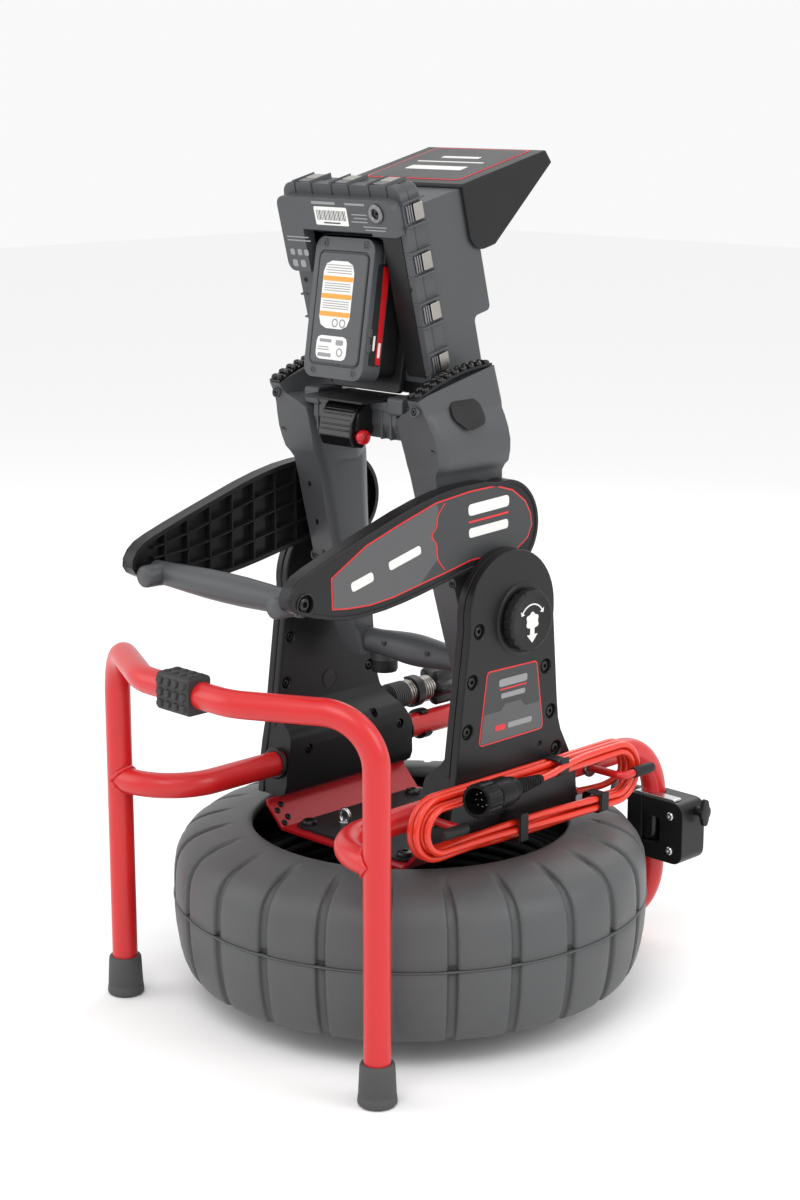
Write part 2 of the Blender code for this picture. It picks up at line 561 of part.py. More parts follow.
def build_system_cable(orange, black, parent):
    """The system cable: gland, lead, the hank hung on the hooks, strain relief and connector."""
    gland = turned([(0, 0), (7.5, 0), (7.5, 4), (6, 6), (4.4, 18), (0, 18)], 14)
    gland = lay_along(gland, (0, -1, 0), (GLAND_X, GLAND_Y, GLAND_Z))
    finish("cable_gland", gland, black, parent)
    knots = [(GLAND_X, GLAND_Y - 18.3, GLAND_Z), (-118.6, -124, 203), (-121.5, -135, 204),
             (-126, -144, 206.5), (-130, -150.5, 209.5), (-131.9, -153.5, 211)]
    tube("system_cable_lead", smooth_route(knots, 3), CORD_R, orange, parent)
    low_x, high_x = HANK_X - HANK_THICK / 2, HANK_X + HANK_THICK / 2
    hank = prism(stadium(HANK_FRONT_Y, HANK_REAR_Y, HANK_Z, HANK_R, 8), low_x, high_x, "X")
    hank = finish("system_cable_hank", hank, orange, parent)
    gap_y = HANK_R - HANK_SLOT_R
    slot = stadium(HANK_FRONT_Y - gap_y, HANK_REAR_Y + gap_y, HANK_Z, HANK_SLOT_R, 4)
    slot = finish("cutter_hank_slot", prism(slot, low_x - 5, high_x + 5, "X"), orange, parent)
    combine(hank, slot, "DIFFERENCE")
    mouth, tail = Vector(CONNECTOR_MOUTH), Vector(CONNECTOR_TAIL)
    barrel = [(0, 14), (10.5, 14), (10.5, 0), (13, 0), (13, 22), (11.5, 26), (11.5, 48), (0, 48)]
    relief = [(0, 48.3), (8.5, 48.3), (7.5, 60), (4.2, 99), (0, 99)]
    finish("cable_connector", lay_along(turned(barrel, 16), tail - mouth, mouth), black, parent)
    finish("cable_strain_relief", lay_along(turned(relief, 14), tail - mouth, mouth), black, parent)


def main():
    remove_everything()
    red = make_material("red_paint", (0.72, 0.03, 0.03), 0.4)
    grey = make_material("grey_plastic", (0.11, 0.11, 0.115), 0.6)
    black = make_material("black_plastic", (0.02, 0.02, 0.022), 0.45)
    rubber = make_material("rubber", (0.06, 0.06, 0.06), 0.8)
    steel = make_material("steel", (0.6, 0.6, 0.6), 0.3, 1.0)
    glass = make_material("glass", (0.02, 0.02, 0.03), 0.1)
    orange = make_material("orange_cable", (0.85, 0.06, 0.01), 0.35)

    root = make_empty("assembly", (0, AXIS_Y_IN_FRAME, 0))
    drum = make_empty("drum_axis", (0, 0, 0), root)
    dock = make_empty("stand_axis", (0, DOCK_Y, DOCK_Z), root)
    arm_at = (0, ARM_PIVOT_Y, ARM_PIVOT_Z)
    arms = make_empty("arm_axis", (0, ARM_PIVOT_Y - DOCK_Y, ARM_PIVOT_Z - DOCK_Z), dock)
    monitor = make_empty("monitor_axis", (0, MONITOR_Y - DOCK_Y, MONITOR_Z - DOCK_Z), dock, MONITOR_TILT)
    battery = make_empty("battery_rails", (0, BATTERY_Y, BATTERY_Z), monitor, BATTERY_TILT)
    latch = make_empty("latch_axis", (0, 78 - DOCK_Y, 574 - DOCK_Z), dock)
    button = make_empty("button_axis", (-22, BUTTON_Y, BUTTON_Z), latch)
    knobs = {word: make_empty(f"knob_axis_{word}", (0, DOCK_Y, DOCK_Z), root) for word in ("left", "right")}
    wing = make_empty("wing_axis", (CLAMP_X - 54 - GAP, REAR_LEG_Y - 6, 160), root)

    build_tubes(red, root)
    build_feet(rubber, root)
    build_grip_block(rubber, root)
    build_cradle(red, black, root)
    build_spindle(steel, black, root)
    build_drum(grey, black, black, drum)
    build_plates(black, root)
    build_knobs(black, knobs)
    build_stand(grey, black, grey, steel, dock, (0, DOCK_Y, DOCK_Z))
    build_arms(black, grey, arms, arm_at)
    build_monitor(grey, black, glass, monitor, battery)
    build_sunshade(black, monitor)
    build_battery(grey, battery)
    build_latch(black, red, latch, button)
    build_camera(black, grey, steel, root)
    build_hooks(red, black, root)
    build_clamp(grey, black, root, wing)
    build_system_cable(orange, black, root)


main()
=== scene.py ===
"""Looks for the inspection camera reel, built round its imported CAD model.

Shapes are written in millimetres from the drum's axis, which stands at AXIS_Y in the row
frame; piece() turns them into metres there. Left is -X, the side the camera sees.
"""

import math

import bmesh
import bpy
from mathutils import Matrix, Vector


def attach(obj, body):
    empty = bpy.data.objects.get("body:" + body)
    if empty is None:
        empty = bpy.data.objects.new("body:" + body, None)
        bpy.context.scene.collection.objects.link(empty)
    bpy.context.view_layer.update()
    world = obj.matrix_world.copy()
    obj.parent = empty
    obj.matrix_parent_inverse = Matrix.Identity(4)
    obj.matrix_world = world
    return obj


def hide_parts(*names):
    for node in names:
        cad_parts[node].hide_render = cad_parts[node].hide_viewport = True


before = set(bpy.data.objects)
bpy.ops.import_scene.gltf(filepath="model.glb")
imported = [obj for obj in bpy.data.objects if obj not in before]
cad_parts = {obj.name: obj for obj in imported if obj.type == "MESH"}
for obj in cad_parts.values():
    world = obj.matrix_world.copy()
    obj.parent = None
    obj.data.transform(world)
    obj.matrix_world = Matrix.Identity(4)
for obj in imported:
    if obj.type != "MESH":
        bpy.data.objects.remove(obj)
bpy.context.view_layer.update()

MM = 0.001
AXIS_Y = -16.85
TO_ROW = Matrix.Scale(MM, 4) @ Matrix.Translation((0, AXIS_Y, 0))
SIDES = ((-1, "left"), (1, "right"))

TUBE_R = 12.7
LEG_X, LEG_Y, HOOP_Z, HOOP_Y, HOOP_FLAT_X = 183.0, 226.3, 364.3, 290.0, 62.0
RAIL_X, RAIL_Z, REAR_Y, LOW_Z = 109.3, 227.7, -255.8, 16.0
GROOVES, GROOVE_PHASE, GROOVE_DEPTH = 24, 9.3, 4.3
PLATE_IN, PLATE_MID, PLATE_OUT = 118.5, 127.0, 136.0
DOCK_Y, DOCK_Z = -14.6, 403.3
ARM_IN, ARM_OUT, ARM_Y, ARM_Z = 102.4, 117.0, -10.0, 490.0
MONITOR = Matrix.Translation((0, 20, 628)) @ Matrix.Rotation(math.radians(-14), 4, "X")
BATTERY = MONITOR @ Matrix.Translation((0, 80.7, 28.5)) @ Matrix.Rotation(math.radians(22.9), 4, "X")
LATCH = Matrix.Translation((0, 78, 574))
HOOK_X, HOOK_Z = -165.0, 226.0
CORD_D = 7.0


# ---- shapes, as bmeshes in millimetres

def arc(centre, radius, start, end, steps):
    turns = [math.radians(start + (end - start) * i / steps) for i in range(steps + 1)]
    return [(centre[0] + radius * math.cos(a), centre[1] + radius * math.sin(a)) for a in turns]


def rounded(corners, radius, steps=5):
    points = []
    for i, corner in enumerate(corners):
        size = radius[i] if isinstance(radius, (list, tuple)) else radius
        here = Vector(corner)
        before = (Vector(corners[i - 1]) - here).normalized()
        after = (Vector(corners[(i + 1) % len(corners)]) - here).normalized()
        half = before.angle(after) / 2
        centre = here + (before + after).normalized() * size / math.sin(half)
        first = here + before * size / math.tan(half) - centre
        last = here + after * size / math.tan(half) - centre
        for k in range(steps + 1):
            points.append(tuple(centre + first.slerp(last, k / steps).normalized() * size))
    return points


def oblong(x0, x1, y0, y1, radius, steps=5):
    return rounded([(x0, y0), (x1, y0), (x1, y1), (x0, y1)], radius, steps)


def prism(outline, low, high, axis):
    place = {
        "X": lambda p, h: (h, p[0], p[1]),
        "Y": lambda p, h: (p[0], h, p[1]),
        "Z": lambda p, h: (p[0], p[1], h),
    }[axis]
    made = bmesh.new()
    base = [made.verts.new(place(p, low)) for p in outline]
    top = [made.verts.new(place(p, high)) for p in outline]
    made.faces.new(base)
    made.faces.new(list(reversed(top)))
    for i in range(len(outline)):
        j = (i + 1) % len(outline)
        made.faces.new((base[i], base[j], top[j], top[i]))
    return made


def skin(rows, closed=False):
    """A bmesh through rows of the same number of points; each row is a loop."""
    made = bmesh.new()
    rows = [[made.verts.new(p) for p in row] for row in rows]
    count = len(rows[0])
    pairs = list(zip(rows, rows[1:])) + ([(rows[-1], rows[0])] if closed else [])
    for low, high in pairs:
        for i in range(count):
            j = (i + 1) % count
            made.faces.new((low[i], low[j], high[j], high[i]))
    if not closed:
        made.faces.new(rows[0])
        made.faces.new(list(reversed(rows[-1])))
    return made


def turned(profile, steps=32, ring=False, shape=None):
    """Turned about Z from (radius, height). shape(angle, row) adds to the radius."""
    made = bmesh.new()
    rows = []
    for k, (radius, height) in enumerate(profile):
        if radius < 1e-6:
            rows.append([made.verts.new((0, 0, height))])
            continue
        row = []
        for i in range(steps):
            a = 2 * math.pi * i / steps
            r = radius + (shape(a, k) if shape else 0)
            row.append(made.verts.new((r * math.cos(a), r * math.sin(a), height)))
        rows.append(row)
    pairs = list(zip(rows, rows[1:]))
    if ring:
        pairs.append((rows[-1], rows[0]))
    for low, high in pairs:
        for i in range(steps):
            j = (i + 1) % steps
            corners = [low[i % len(low)], low[j % len(low)], high[j % len(high)], high[i % len(high)]]
            corners = list(dict.fromkeys(corners))
            if len(corners) > 2:
                made.faces.new(corners)
    return made


def ripple(size, count, rows, power=1):
    """A shape for turned(): this many waves round the rows, or only their crests, raised to a power."""
    def shape(angle, row):
        wave = math.cos(count * angle)
        if row not in rows:
            return 0
        return size * (wave if power == 1 else max(0.0, wave) ** power)

    return shape


def lay(mesh, axis, place):
    turn = Vector((0, 0, 1)).rotation_difference(Vector(axis)).to_matrix().to_4x4()
    bmesh.ops.transform(mesh, matrix=Matrix.Translation(place) @ turn, verts=mesh.verts)
    return mesh


def bent(corners, step=4.0):
    spots = [Vector(c[:3]) for c in corners]
    points = [spots[0]]
    for i in range(1, len(corners) - 1):
        radius = corners[i][3]
        back = (spots[i - 1] - spots[i]).normalized()
        on = (spots[i + 1] - spots[i]).normalized()
        half = back.angle(on) / 2
        centre = spots[i] + (back + on).normalized() * radius / math.sin(half)
        first = spots[i] + back * radius / math.tan(half) - centre
        last = spots[i] + on * radius / math.tan(half) - centre
        steps = max(3, round(math.degrees(math.pi - 2 * half) / step))
        points += [centre + first.slerp(last, k / steps).normalized() * radius for k in range(steps + 1)]
    return points + [spots[-1]]


def flowing(knots, steps):
    """A Catmull-Rom curve through the knots."""
    spots = [Vector(k) for k in [knots[0]] + list(knots) + [knots[-1]]]
    points = []
    for i in range(len(knots) - 1):
        a, b, c, d = spots[i:i + 4]
        for k in range(steps):
            t = k / steps
            points.append(0.5 * (2 * b + (c - a) * t + (2 * a - 5 * b + 4 * c - d) * t * t
                                 + (3 * b - a - 3 * c + d) * t ** 3))
    return points + [spots[-1]]


def swept(points, radius, sides=16, closed=False):
    """A round bar along the points. radius is a number or one number for each point."""
    spots = [Vector(p) for p in points]
    count = len(spots)
    radii = radius if isinstance(radius, (list, tuple)) else [radius] * count
    rows, normal = [], None
    for i, spot in enumerate(spots):
        before = spots[i - 1] if i or closed else spot
        after = spots[(i + 1) % count] if i < count - 1 or closed else spot
        along = (after - before).normalized()
        if normal is None:
            normal = along.orthogonal().normalized()
        normal = (normal - along * normal.dot(along)).normalized()
        side = along.cross(normal)
        turns = [2 * math.pi * k / sides for k in range(sides)]
        rows.append([spot + radii[i] * (math.cos(a) * normal + math.sin(a) * side) for a in turns])
    return skin(rows, closed)


def merged(meshes):
    whole = bmesh.new()
    for mesh in meshes:
        spare = bpy.data.meshes.new("spare")
        mesh.to_mesh(spare)
        mesh.free()
        whole.from_mesh(spare)
        bpy.data.meshes.remove(spare)
    return whole


# ---- materials

def grained(name, colour, rough, metallic=0.0, grain=1400.0, bump=0.25, spread=0.10, coat=0.0,
            pebble=False, wear=0.08, shine=0.5):
    """A Principled surface with fine grain, uneven colour and uneven gloss."""
    made = bpy.data.materials.new(name)
    made.use_nodes = True
    nodes, links = made.node_tree.nodes, made.node_tree.links
    shader = nodes["Principled BSDF"]
    shader.inputs["Metallic"].default_value = metallic
    shader.inputs["Coat Weight"].default_value = coat
    shader.inputs["Coat Roughness"].default_value = 0.15
    shader.inputs["Specular IOR Level"].default_value = shine
    where = nodes.new("ShaderNodeTexCoord")
    fine = nodes.new("ShaderNodeTexVoronoi" if pebble else "ShaderNodeTexNoise")
    fine.inputs["Scale"].default_value = grain
    links.new(where.outputs["Object"], fine.inputs["Vector"])
    relief = nodes.new("ShaderNodeBump")
    relief.inputs["Strength"].default_value = bump
    relief.inputs["Distance"].default_value = 0.0003
    links.new(fine.outputs["Distance" if pebble else "Fac"], relief.inputs["Height"])
    links.new(relief.outputs["Normal"], shader.inputs["Normal"])
    broad = nodes.new("ShaderNodeTexNoise")
    broad.inputs["Scale"].default_value = 28.0
    broad.inputs["Detail"].default_value = 6.0
    links.new(where.outputs["Object"], broad.inputs["Vector"])
    tint = nodes.new("ShaderNodeMix")
    tint.data_type = "RGBA"
    tint.inputs["A"].default_value = (*[c * (1 - spread) for c in colour], 1)
    tint.inputs["B"].default_value = (*[min(1, c * (1 + spread)) for c in colour], 1)
    links.new(broad.outputs["Fac"], tint.inputs["Factor"])
    links.new(tint.outputs["Result"], shader.inputs["Base Color"])
    gloss = nodes.new("ShaderNodeMapRange")
    gloss.inputs["To Min"].default_value = max(0.02, rough - wear)
    gloss.inputs["To Max"].default_value = min(1.0, rough + wear)
    links.new(broad.outputs["Fac"], gloss.inputs["Value"])
    links.new(gloss.outputs["Result"], shader.inputs["Roughness"])
    return made


RED = grained("frame_red", (0.56, 0.010, 0.012), 0.36, grain=900, bump=0.06, spread=0.05, coat=0.15)
SHEET_RED = grained("sheet_red", (0.42, 0.006, 0.012), 0.34, grain=900, bump=0.06, spread=0.08, coat=0.2)
DRUM = grained("drum_grey", (0.074, 0.076, 0.078), 0.46, grain=750, bump=0.5, spread=0.08, pebble=True,
               shine=0.4)
GREY = grained("case_grey", (0.060, 0.063, 0.068), 0.42, grain=1500, bump=0.2, spread=0.06, shine=0.4)
BLACK = grained("moulded_black", (0.010, 0.010, 0.011), 0.36, grain=1600, bump=0.15, spread=0.15, shine=0.28)
SOFT_BLACK = grained("soft_black", (0.014, 0.014, 0.015), 0.55, grain=1100, bump=0.3, spread=0.2, shine=0.25)
GLOSS = grained("gloss_black", (0.006, 0.006, 0.007), 0.14, grain=500, bump=0.05, spread=0.2, wear=0.04,
                shine=0.4)
RUBBER = grained("foot_rubber", (0.060, 0.060, 0.062), 0.72, grain=900, bump=0.45, spread=0.12)
STUD_BLACK = grained("stud_rubber", (0.018, 0.018, 0.019), 0.55, grain=900, bump=0.3, spread=0.2)
CLIP = grained("clip_steel", (0.40, 0.38, 0.35), 0.30, metallic=1.0, grain=700, bump=0.1, spread=0.2)
STEEL = grained("bright_steel", (0.62, 0.62, 0.63), 0.24, metallic=1.0, grain=700, bump=0.08, spread=0.08)
DARK_STEEL = grained("dark_steel", (0.22, 0.22, 0.23), 0.35, metallic=1.0, grain=700, bump=0.1, spread=0.15)
SCREW = grained("screw_black", (0.012, 0.012, 0.013), 0.28, metallic=0.3, grain=600, bump=0.1)
ORANGE = grained("cable_orange", (0.70, 0.028, 0.008), 0.30, grain=500, bump=0.08, spread=0.08, coat=0.3)
BUTTON_RED = grained("button_red", (0.52, 0.008, 0.012), 0.3, grain=900, bump=0.1)
LABEL_DARK = grained("label_dark", (0.030, 0.031, 0.033), 0.42, grain=300, bump=0.02, spread=0.05)
LABEL_MID = grained("label_mid", (0.075, 0.076, 0.079), 0.42, grain=300, bump=0.02, spread=0.05)
LABEL_RED = grained("label_red", (0.62, 0.02, 0.025), 0.4, grain=300, bump=0.02, spread=0.05)
LABEL_WHITE = grained("label_white", (0.72, 0.72, 0.70), 0.45, grain=300, bump=0.02, spread=0.04)
LABEL_ORANGE = grained("label_orange", (0.85, 0.30, 0.03), 0.45, grain=300, bump=0.02, spread=0.05)
LABEL_GREY = grained("label_grey", (0.25, 0.25, 0.255), 0.45, grain=300, bump=0.02, spread=0.04)
SCREEN = grained("screen_glass", (0.008, 0.010, 0.013), 0.06, grain=20, bump=0.0, wear=0.02)
LENS = grained("lens_glass", (0.01, 0.012, 0.02), 0.05, grain=20, bump=0.0, wear=0.02, coat=0.6)


# ---- pieces

KEPT_SEGMENTS, KEPT_ANGLE = 2, 40


def soften(thing, width, segments, angle):
    """Rounds the edges sharper than this angle, this many millimetres wide."""
    edges = thing.modifiers.new("edges", "BEVEL")
    edges.width = width * MM
    edges.segments = segments
    edges.limit_method = "ANGLE"
    edges.angle_limit = math.radians(angle)
    thing.modifiers.new("normals", "WEIGHTED_NORMAL")


def placed(mesh, matrix):
    """Moves a bmesh from millimetres, past the matrix if there is one, into the row frame."""
    if matrix is not None:
        bmesh.ops.transform(mesh, matrix=matrix, verts=mesh.verts)
    bmesh.ops.recalc_face_normals(mesh, faces=mesh.faces)
    bmesh.ops.transform(mesh, matrix=TO_ROW, verts=mesh.verts)


def piece(name, mesh, look, body, replaces=(), matrix=None, bevel=0.0, segments=3, angle=32):
    """Links a piece from a bmesh in millimetres, gives it its look and lets it ride on its body."""
    placed(mesh, matrix)
    data = bpy.data.meshes.new(name)
    mesh.to_mesh(data)
    mesh.free()
    data.materials.append(look)
    data.shade_smooth()
    made = bpy.data.objects.new(name, data)
    bpy.context.scene.collection.objects.link(made)
    if bevel:
        soften(made, bevel, segments, angle)
    else:
        data.set_sharp_from_angle(angle=math.radians(angle))
    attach(made, body)
    if replaces:
        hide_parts(*replaces)
    return made


def cut(target, mesh, matrix=None, operation="DIFFERENCE"):
    """A Boolean whose helper isn't part of the model; it is applied at once."""
    placed(mesh, matrix)
    data = bpy.data.meshes.new("cutter")
    mesh.to_mesh(data)
    mesh.free()
    helper = bpy.data.objects.new("cutter", data)
    bpy.context.scene.collection.objects.link(helper)
    modifier = target.modifiers.new("cut", "BOOLEAN")
    modifier.operation = operation
    modifier.solver = "EXACT"
    modifier.object = helper
    while target.modifiers[0] != modifier:
        with bpy.context.temp_override(object=target):
            bpy.ops.object.modifier_move_up(modifier=modifier.name)
    with bpy.context.temp_override(object=target, active_object=target):
        bpy.ops.object.modifier_apply(modifier=modifier.name)
    bpy.data.objects.remove(helper)
    bpy.data.meshes.remove(data)


def screw(place, axis, radius, height):
    """A domed screw head with a round socket."""
    dome = [(radius, 0), (radius, 0.4 * height), (0.85 * radius, 0.8 * height), (0.55 * radius, height),
            (0.42 * radius, height), (0.36 * radius, 0.35 * height)]
    return lay(turned([(0, 0)] + dome + [(0, dome[-1][1])], 18), axis, place)


def pocket(place, axis, radius, depth):
    return lay(turned([(0, -depth), (radius * 0.9, -depth), (radius, 4), (0, 4)], 24), axis, place)


def keep(node, look, bevel):
    """A CAD node that shows as it is, with its own look and softened edges."""
    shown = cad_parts[node]
    shown.data.materials.clear()
    shown.data.materials.append(look)
    shown.data.shade_smooth()
    soften(shown, bevel, KEPT_SEGMENTS, KEPT_ANGLE)


# ---- camera, floor and light

def point_at(thing, place, target):
    thing.location = Vector(place) * MM
    aim = (Vector(target) * MM - thing.location).normalized()
    thing.rotation_euler = aim.to_track_quat("-Z", "Y").to_euler()


def build_stage():
    scene = bpy.context.scene
    lens = bpy.data.cameras.new("camera")
    lens.lens, lens.sensor_width, lens.sensor_fit = 67.85, 36.0, "AUTO"
    lens.clip_end = 20.0
    camera = bpy.data.objects.new("camera", lens)
    scene.collection.objects.link(camera)
    point_at(camera, (-1541.3, 1536.05, 904.5), (-174.48, 172.06, 461.16))
    scene.camera = camera
    scene.view_settings.view_transform = "Standard"
    world = bpy.data.worlds.new("studio")
    scene.world = world
    world.use_nodes = True
    world.node_tree.nodes["Background"].inputs["Color"].default_value = (1.0, 1.0, 1.0, 1)
    world.node_tree.nodes["Background"].inputs["Strength"].default_value = 0.95
    lights = (
        ("key", (-900, 1500, 2300), 1.6, 21.1),
        ("left_fill", (1500, 1700, 1300), 1.8, 12.4),
        ("right_rim", (-2100, -700, 1500), 1.4, 16.1),
        ("front", (600, -1900, 1700), 1.5, 9.9),
    )
    for name, place, size, power in lights:
        data = bpy.data.lights.new(name, "AREA")
        data.shape, data.size, data.energy = "DISK", size, power
        light = bpy.data.objects.new(name, data)
        scene.collection.objects.link(light)
        point_at(light, place, (0, 0, 380))
    floor = bmesh.new()
    bmesh.ops.create_grid(floor, x_segments=4, y_segments=4, size=9.0)
    data = bpy.data.meshes.new("floor")
    floor.to_mesh(data)
    floor.free()
    data.materials.append(grained("floor_pale", (0.95, 0.95, 0.95), 0.9, grain=60, bump=0.0, spread=0.01,
                                  shine=0.0))
    made = bpy.data.objects.new("floor", data)
    scene.collection.objects.link(made)
    made.location.z = -0.0005


# ---- the system cable, wound in a hank on its two hooks

LAYER_IN, LAYER_MID, LAYER_OUT = -140.2, -147.5, -154.8
FOLD_WIDE, FOLD_TIGHT = 29.1, 21.8
FOLD_FRONT_Y, FOLD_REAR_Y = 112.0, -141.0
CONNECTOR_MOUTH, CONNECTOR_TAIL = Vector((-180, 86, 256)), Vector((-165, -12, 251))


def fold(x, centre_y, radius, start, end):
    return [(x, y, z) for y, z in arc((centre_y, HOOK_Z), radius, start, end, 14)]


def run(start, end, dip=0.0, steps=12):
    """Points between two ends, without the ends; dip sags the middle."""
    points = []
    for i in range(1, steps):
        t = i / steps
        ease = t * t * (3 - 2 * t)
        x = start[0] + (end[0] - start[0]) * ease
        z = start[2] + (end[2] - start[2]) * ease + dip * math.sin(math.pi * t)
        points.append((x, start[1] + (end[1] - start[1]) * t, z))
    return points


def cable_route():
    lead = [(-118, -116.7, 203), (-118.8, -126, 203), (-123, -136, 203.8), (-130, -148.5, 206.6),
            (-136.3, -157.6, 212.4)]
    route = flowing(lead + [(LAYER_IN, -162.06, 220.36)], 5)[:-1]
    loops = ((LAYER_IN, FOLD_TIGHT, 0.0), (LAYER_IN, FOLD_WIDE, -4.6), (LAYER_MID, FOLD_WIDE, 0.6),
             (LAYER_MID, FOLD_TIGHT, 4.2), (LAYER_OUT, FOLD_TIGHT, 0.0), (LAYER_OUT, FOLD_WIDE, 0.0))
    for i, (x, radius, dip) in enumerate(loops):
        route += fold(x, FOLD_REAR_Y, radius, 195 if i == 0 else 270, 90)
        top = HOOK_Z + radius
        if i == len(loops) - 1:
            break
        route += run((x, FOLD_REAR_Y, top), (x, FOLD_FRONT_Y, top), -0.4)
        route += fold(x, FOLD_FRONT_Y, radius, 90, -90)
        next_x, next_radius = loops[i + 1][:2]
        low, next_low = HOOK_Z - radius, HOOK_Z - next_radius
        route += run((x, FOLD_FRONT_Y, low), (next_x, FOLD_REAR_Y, next_low), dip)
    tail = [(LAYER_OUT, FOLD_REAR_Y, top), (LAYER_OUT, -115, top), (-155.6, -85, 254.9),
            (-158.5, -57, 253.6), (-162.6, -32, 251.6), (-164.95, -12.4, 250.95)]
    return route[:-1] + flowing(tail, 7)


def build_cable():
    points = cable_route()
    curve = bpy.data.curves.new("system_cable", "CURVE")
    curve.dimensions = "3D"
    curve.bevel_depth = CORD_D / 2 * MM
    curve.bevel_resolution = 4
    curve.use_fill_caps = True
    spline = curve.splines.new("POLY")
    spline.points.add(len(points) - 1)
    row_points = [TO_ROW @ Vector(p) for p in points]
    for spot, point in zip(spline.points, row_points):
        spot.co = (*point, 1.0)
    spline.use_smooth = True
    curve.materials.append(ORANGE)
    cable = bpy.data.objects.new("system_cable", curve)
    bpy.context.scene.collection.objects.link(cable)
    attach(cable, "frame")
    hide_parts("system_cable_hank", "system_cable_lead")
    plug = build_connector()
    return cable


def build_connector():
    """The round connector with its ribbed strain relief and its pins."""
    along = CONNECTOR_TAIL - CONNECTOR_MOUTH
    flutes = ripple(0.45, 20, (4, 5, 6, 7))
    barrel = [(0, 15), (10.3, 15), (10.3, 0.4), (11.2, 0), (12.4, 0.3), (13, 1.2), (13, 17), (12.6, 18.2),
              (11.4, 18.6), (11.4, 20.2), (12.2, 20.8), (12.2, 38), (11.6, 40), (10.2, 41), (10, 48),
              (0, 48)]
    barrel = [(1.22 * r, 1.24 * z) for r, z in barrel]
    mouth = CONNECTOR_MOUTH - along.normalized() * 11.5
    shell = piece("cable_connector_shell", lay(turned(barrel, 80, shape=flutes), along, mouth),
                  BLACK, "frame", ("cable_connector",), angle=30)
    pins = [(0, 0), (5.5, 0), (-5.5, 0), (0, 5.5), (0, -5.5), (4, 4), (-4, -4), (4, -4), (-4, 4)]
    made = []
    turn = Vector((0, 0, 1)).rotation_difference(along).to_matrix()
    for x, y in pins:
        base = mouth + turn @ Vector((1.2 * x, 1.2 * y, 3))
        made.append(lay(turned([(0, 6), (0.7, 6.4), (0.8, 15.2), (0, 15.2)], 8), along, base))
    contacts = piece("cable_connector_pins", merged(made), STEEL, "frame")
    relief = [(0, 48.3), (8.4, 48.3), (8.6, 52)]
    for i in range(9):
        z = 54 + 4.7 * i
        r = 8.2 - 0.38 * i
        relief += [(r, z), (r, z + 2.3), (r - 1.5, z + 2.8), (r - 1.5, z + 4.3)]
    relief += [(4.3, 97.5), (4.0, 98.7), (0, 98.7)]
    sleeve = piece("cable_connector_relief", lay(turned(relief, 32), along, CONNECTOR_MOUTH),
                   SOFT_BLACK, "frame", ("cable_strain_relief",), angle=50)
    return [shell, contacts, sleeve]


def build_ties():
    """Black straps round the upper and lower runs of the hank."""
    for name, y, low, high, width in (("rear_low", -114, 191.4, 211.0, 13),
                                      ("front_low", 6, 188.4, 216.4, 13),
                                      ("top", -52, 243.4, 259.8, 14)):
        loop = oblong(LAYER_OUT - 5.2, LAYER_IN + 4.4, low, high, 5, 5)
        hole = oblong(LAYER_OUT - 4.1, LAYER_IN + 3.3, low + 1.1, high - 1.1, 4, 5)
        rows = []
        for side in (-width / 2, width / 2):
            rows.append([(x, y + side, z) for x, z in loop])
        inner = [[(x, y + side, z) for x, z in hole] for side in (width / 2, -width / 2)]
        piece(f"cable_tie_{name}", skin(rows + inner, closed=True), SOFT_BLACK, "frame",
              bevel=0.35, angle=60)
        flap = prism(oblong(y - width / 2 + 1, y + width / 2 - 1, low + 3, high + 2.5, 2), LAYER_OUT - 6.3,
                     LAYER_OUT - 5.1, "X")
        piece(f"cable_tie_flap_{name}", flap, SOFT_BLACK, "frame", bevel=0.4)


# ---- tube frame

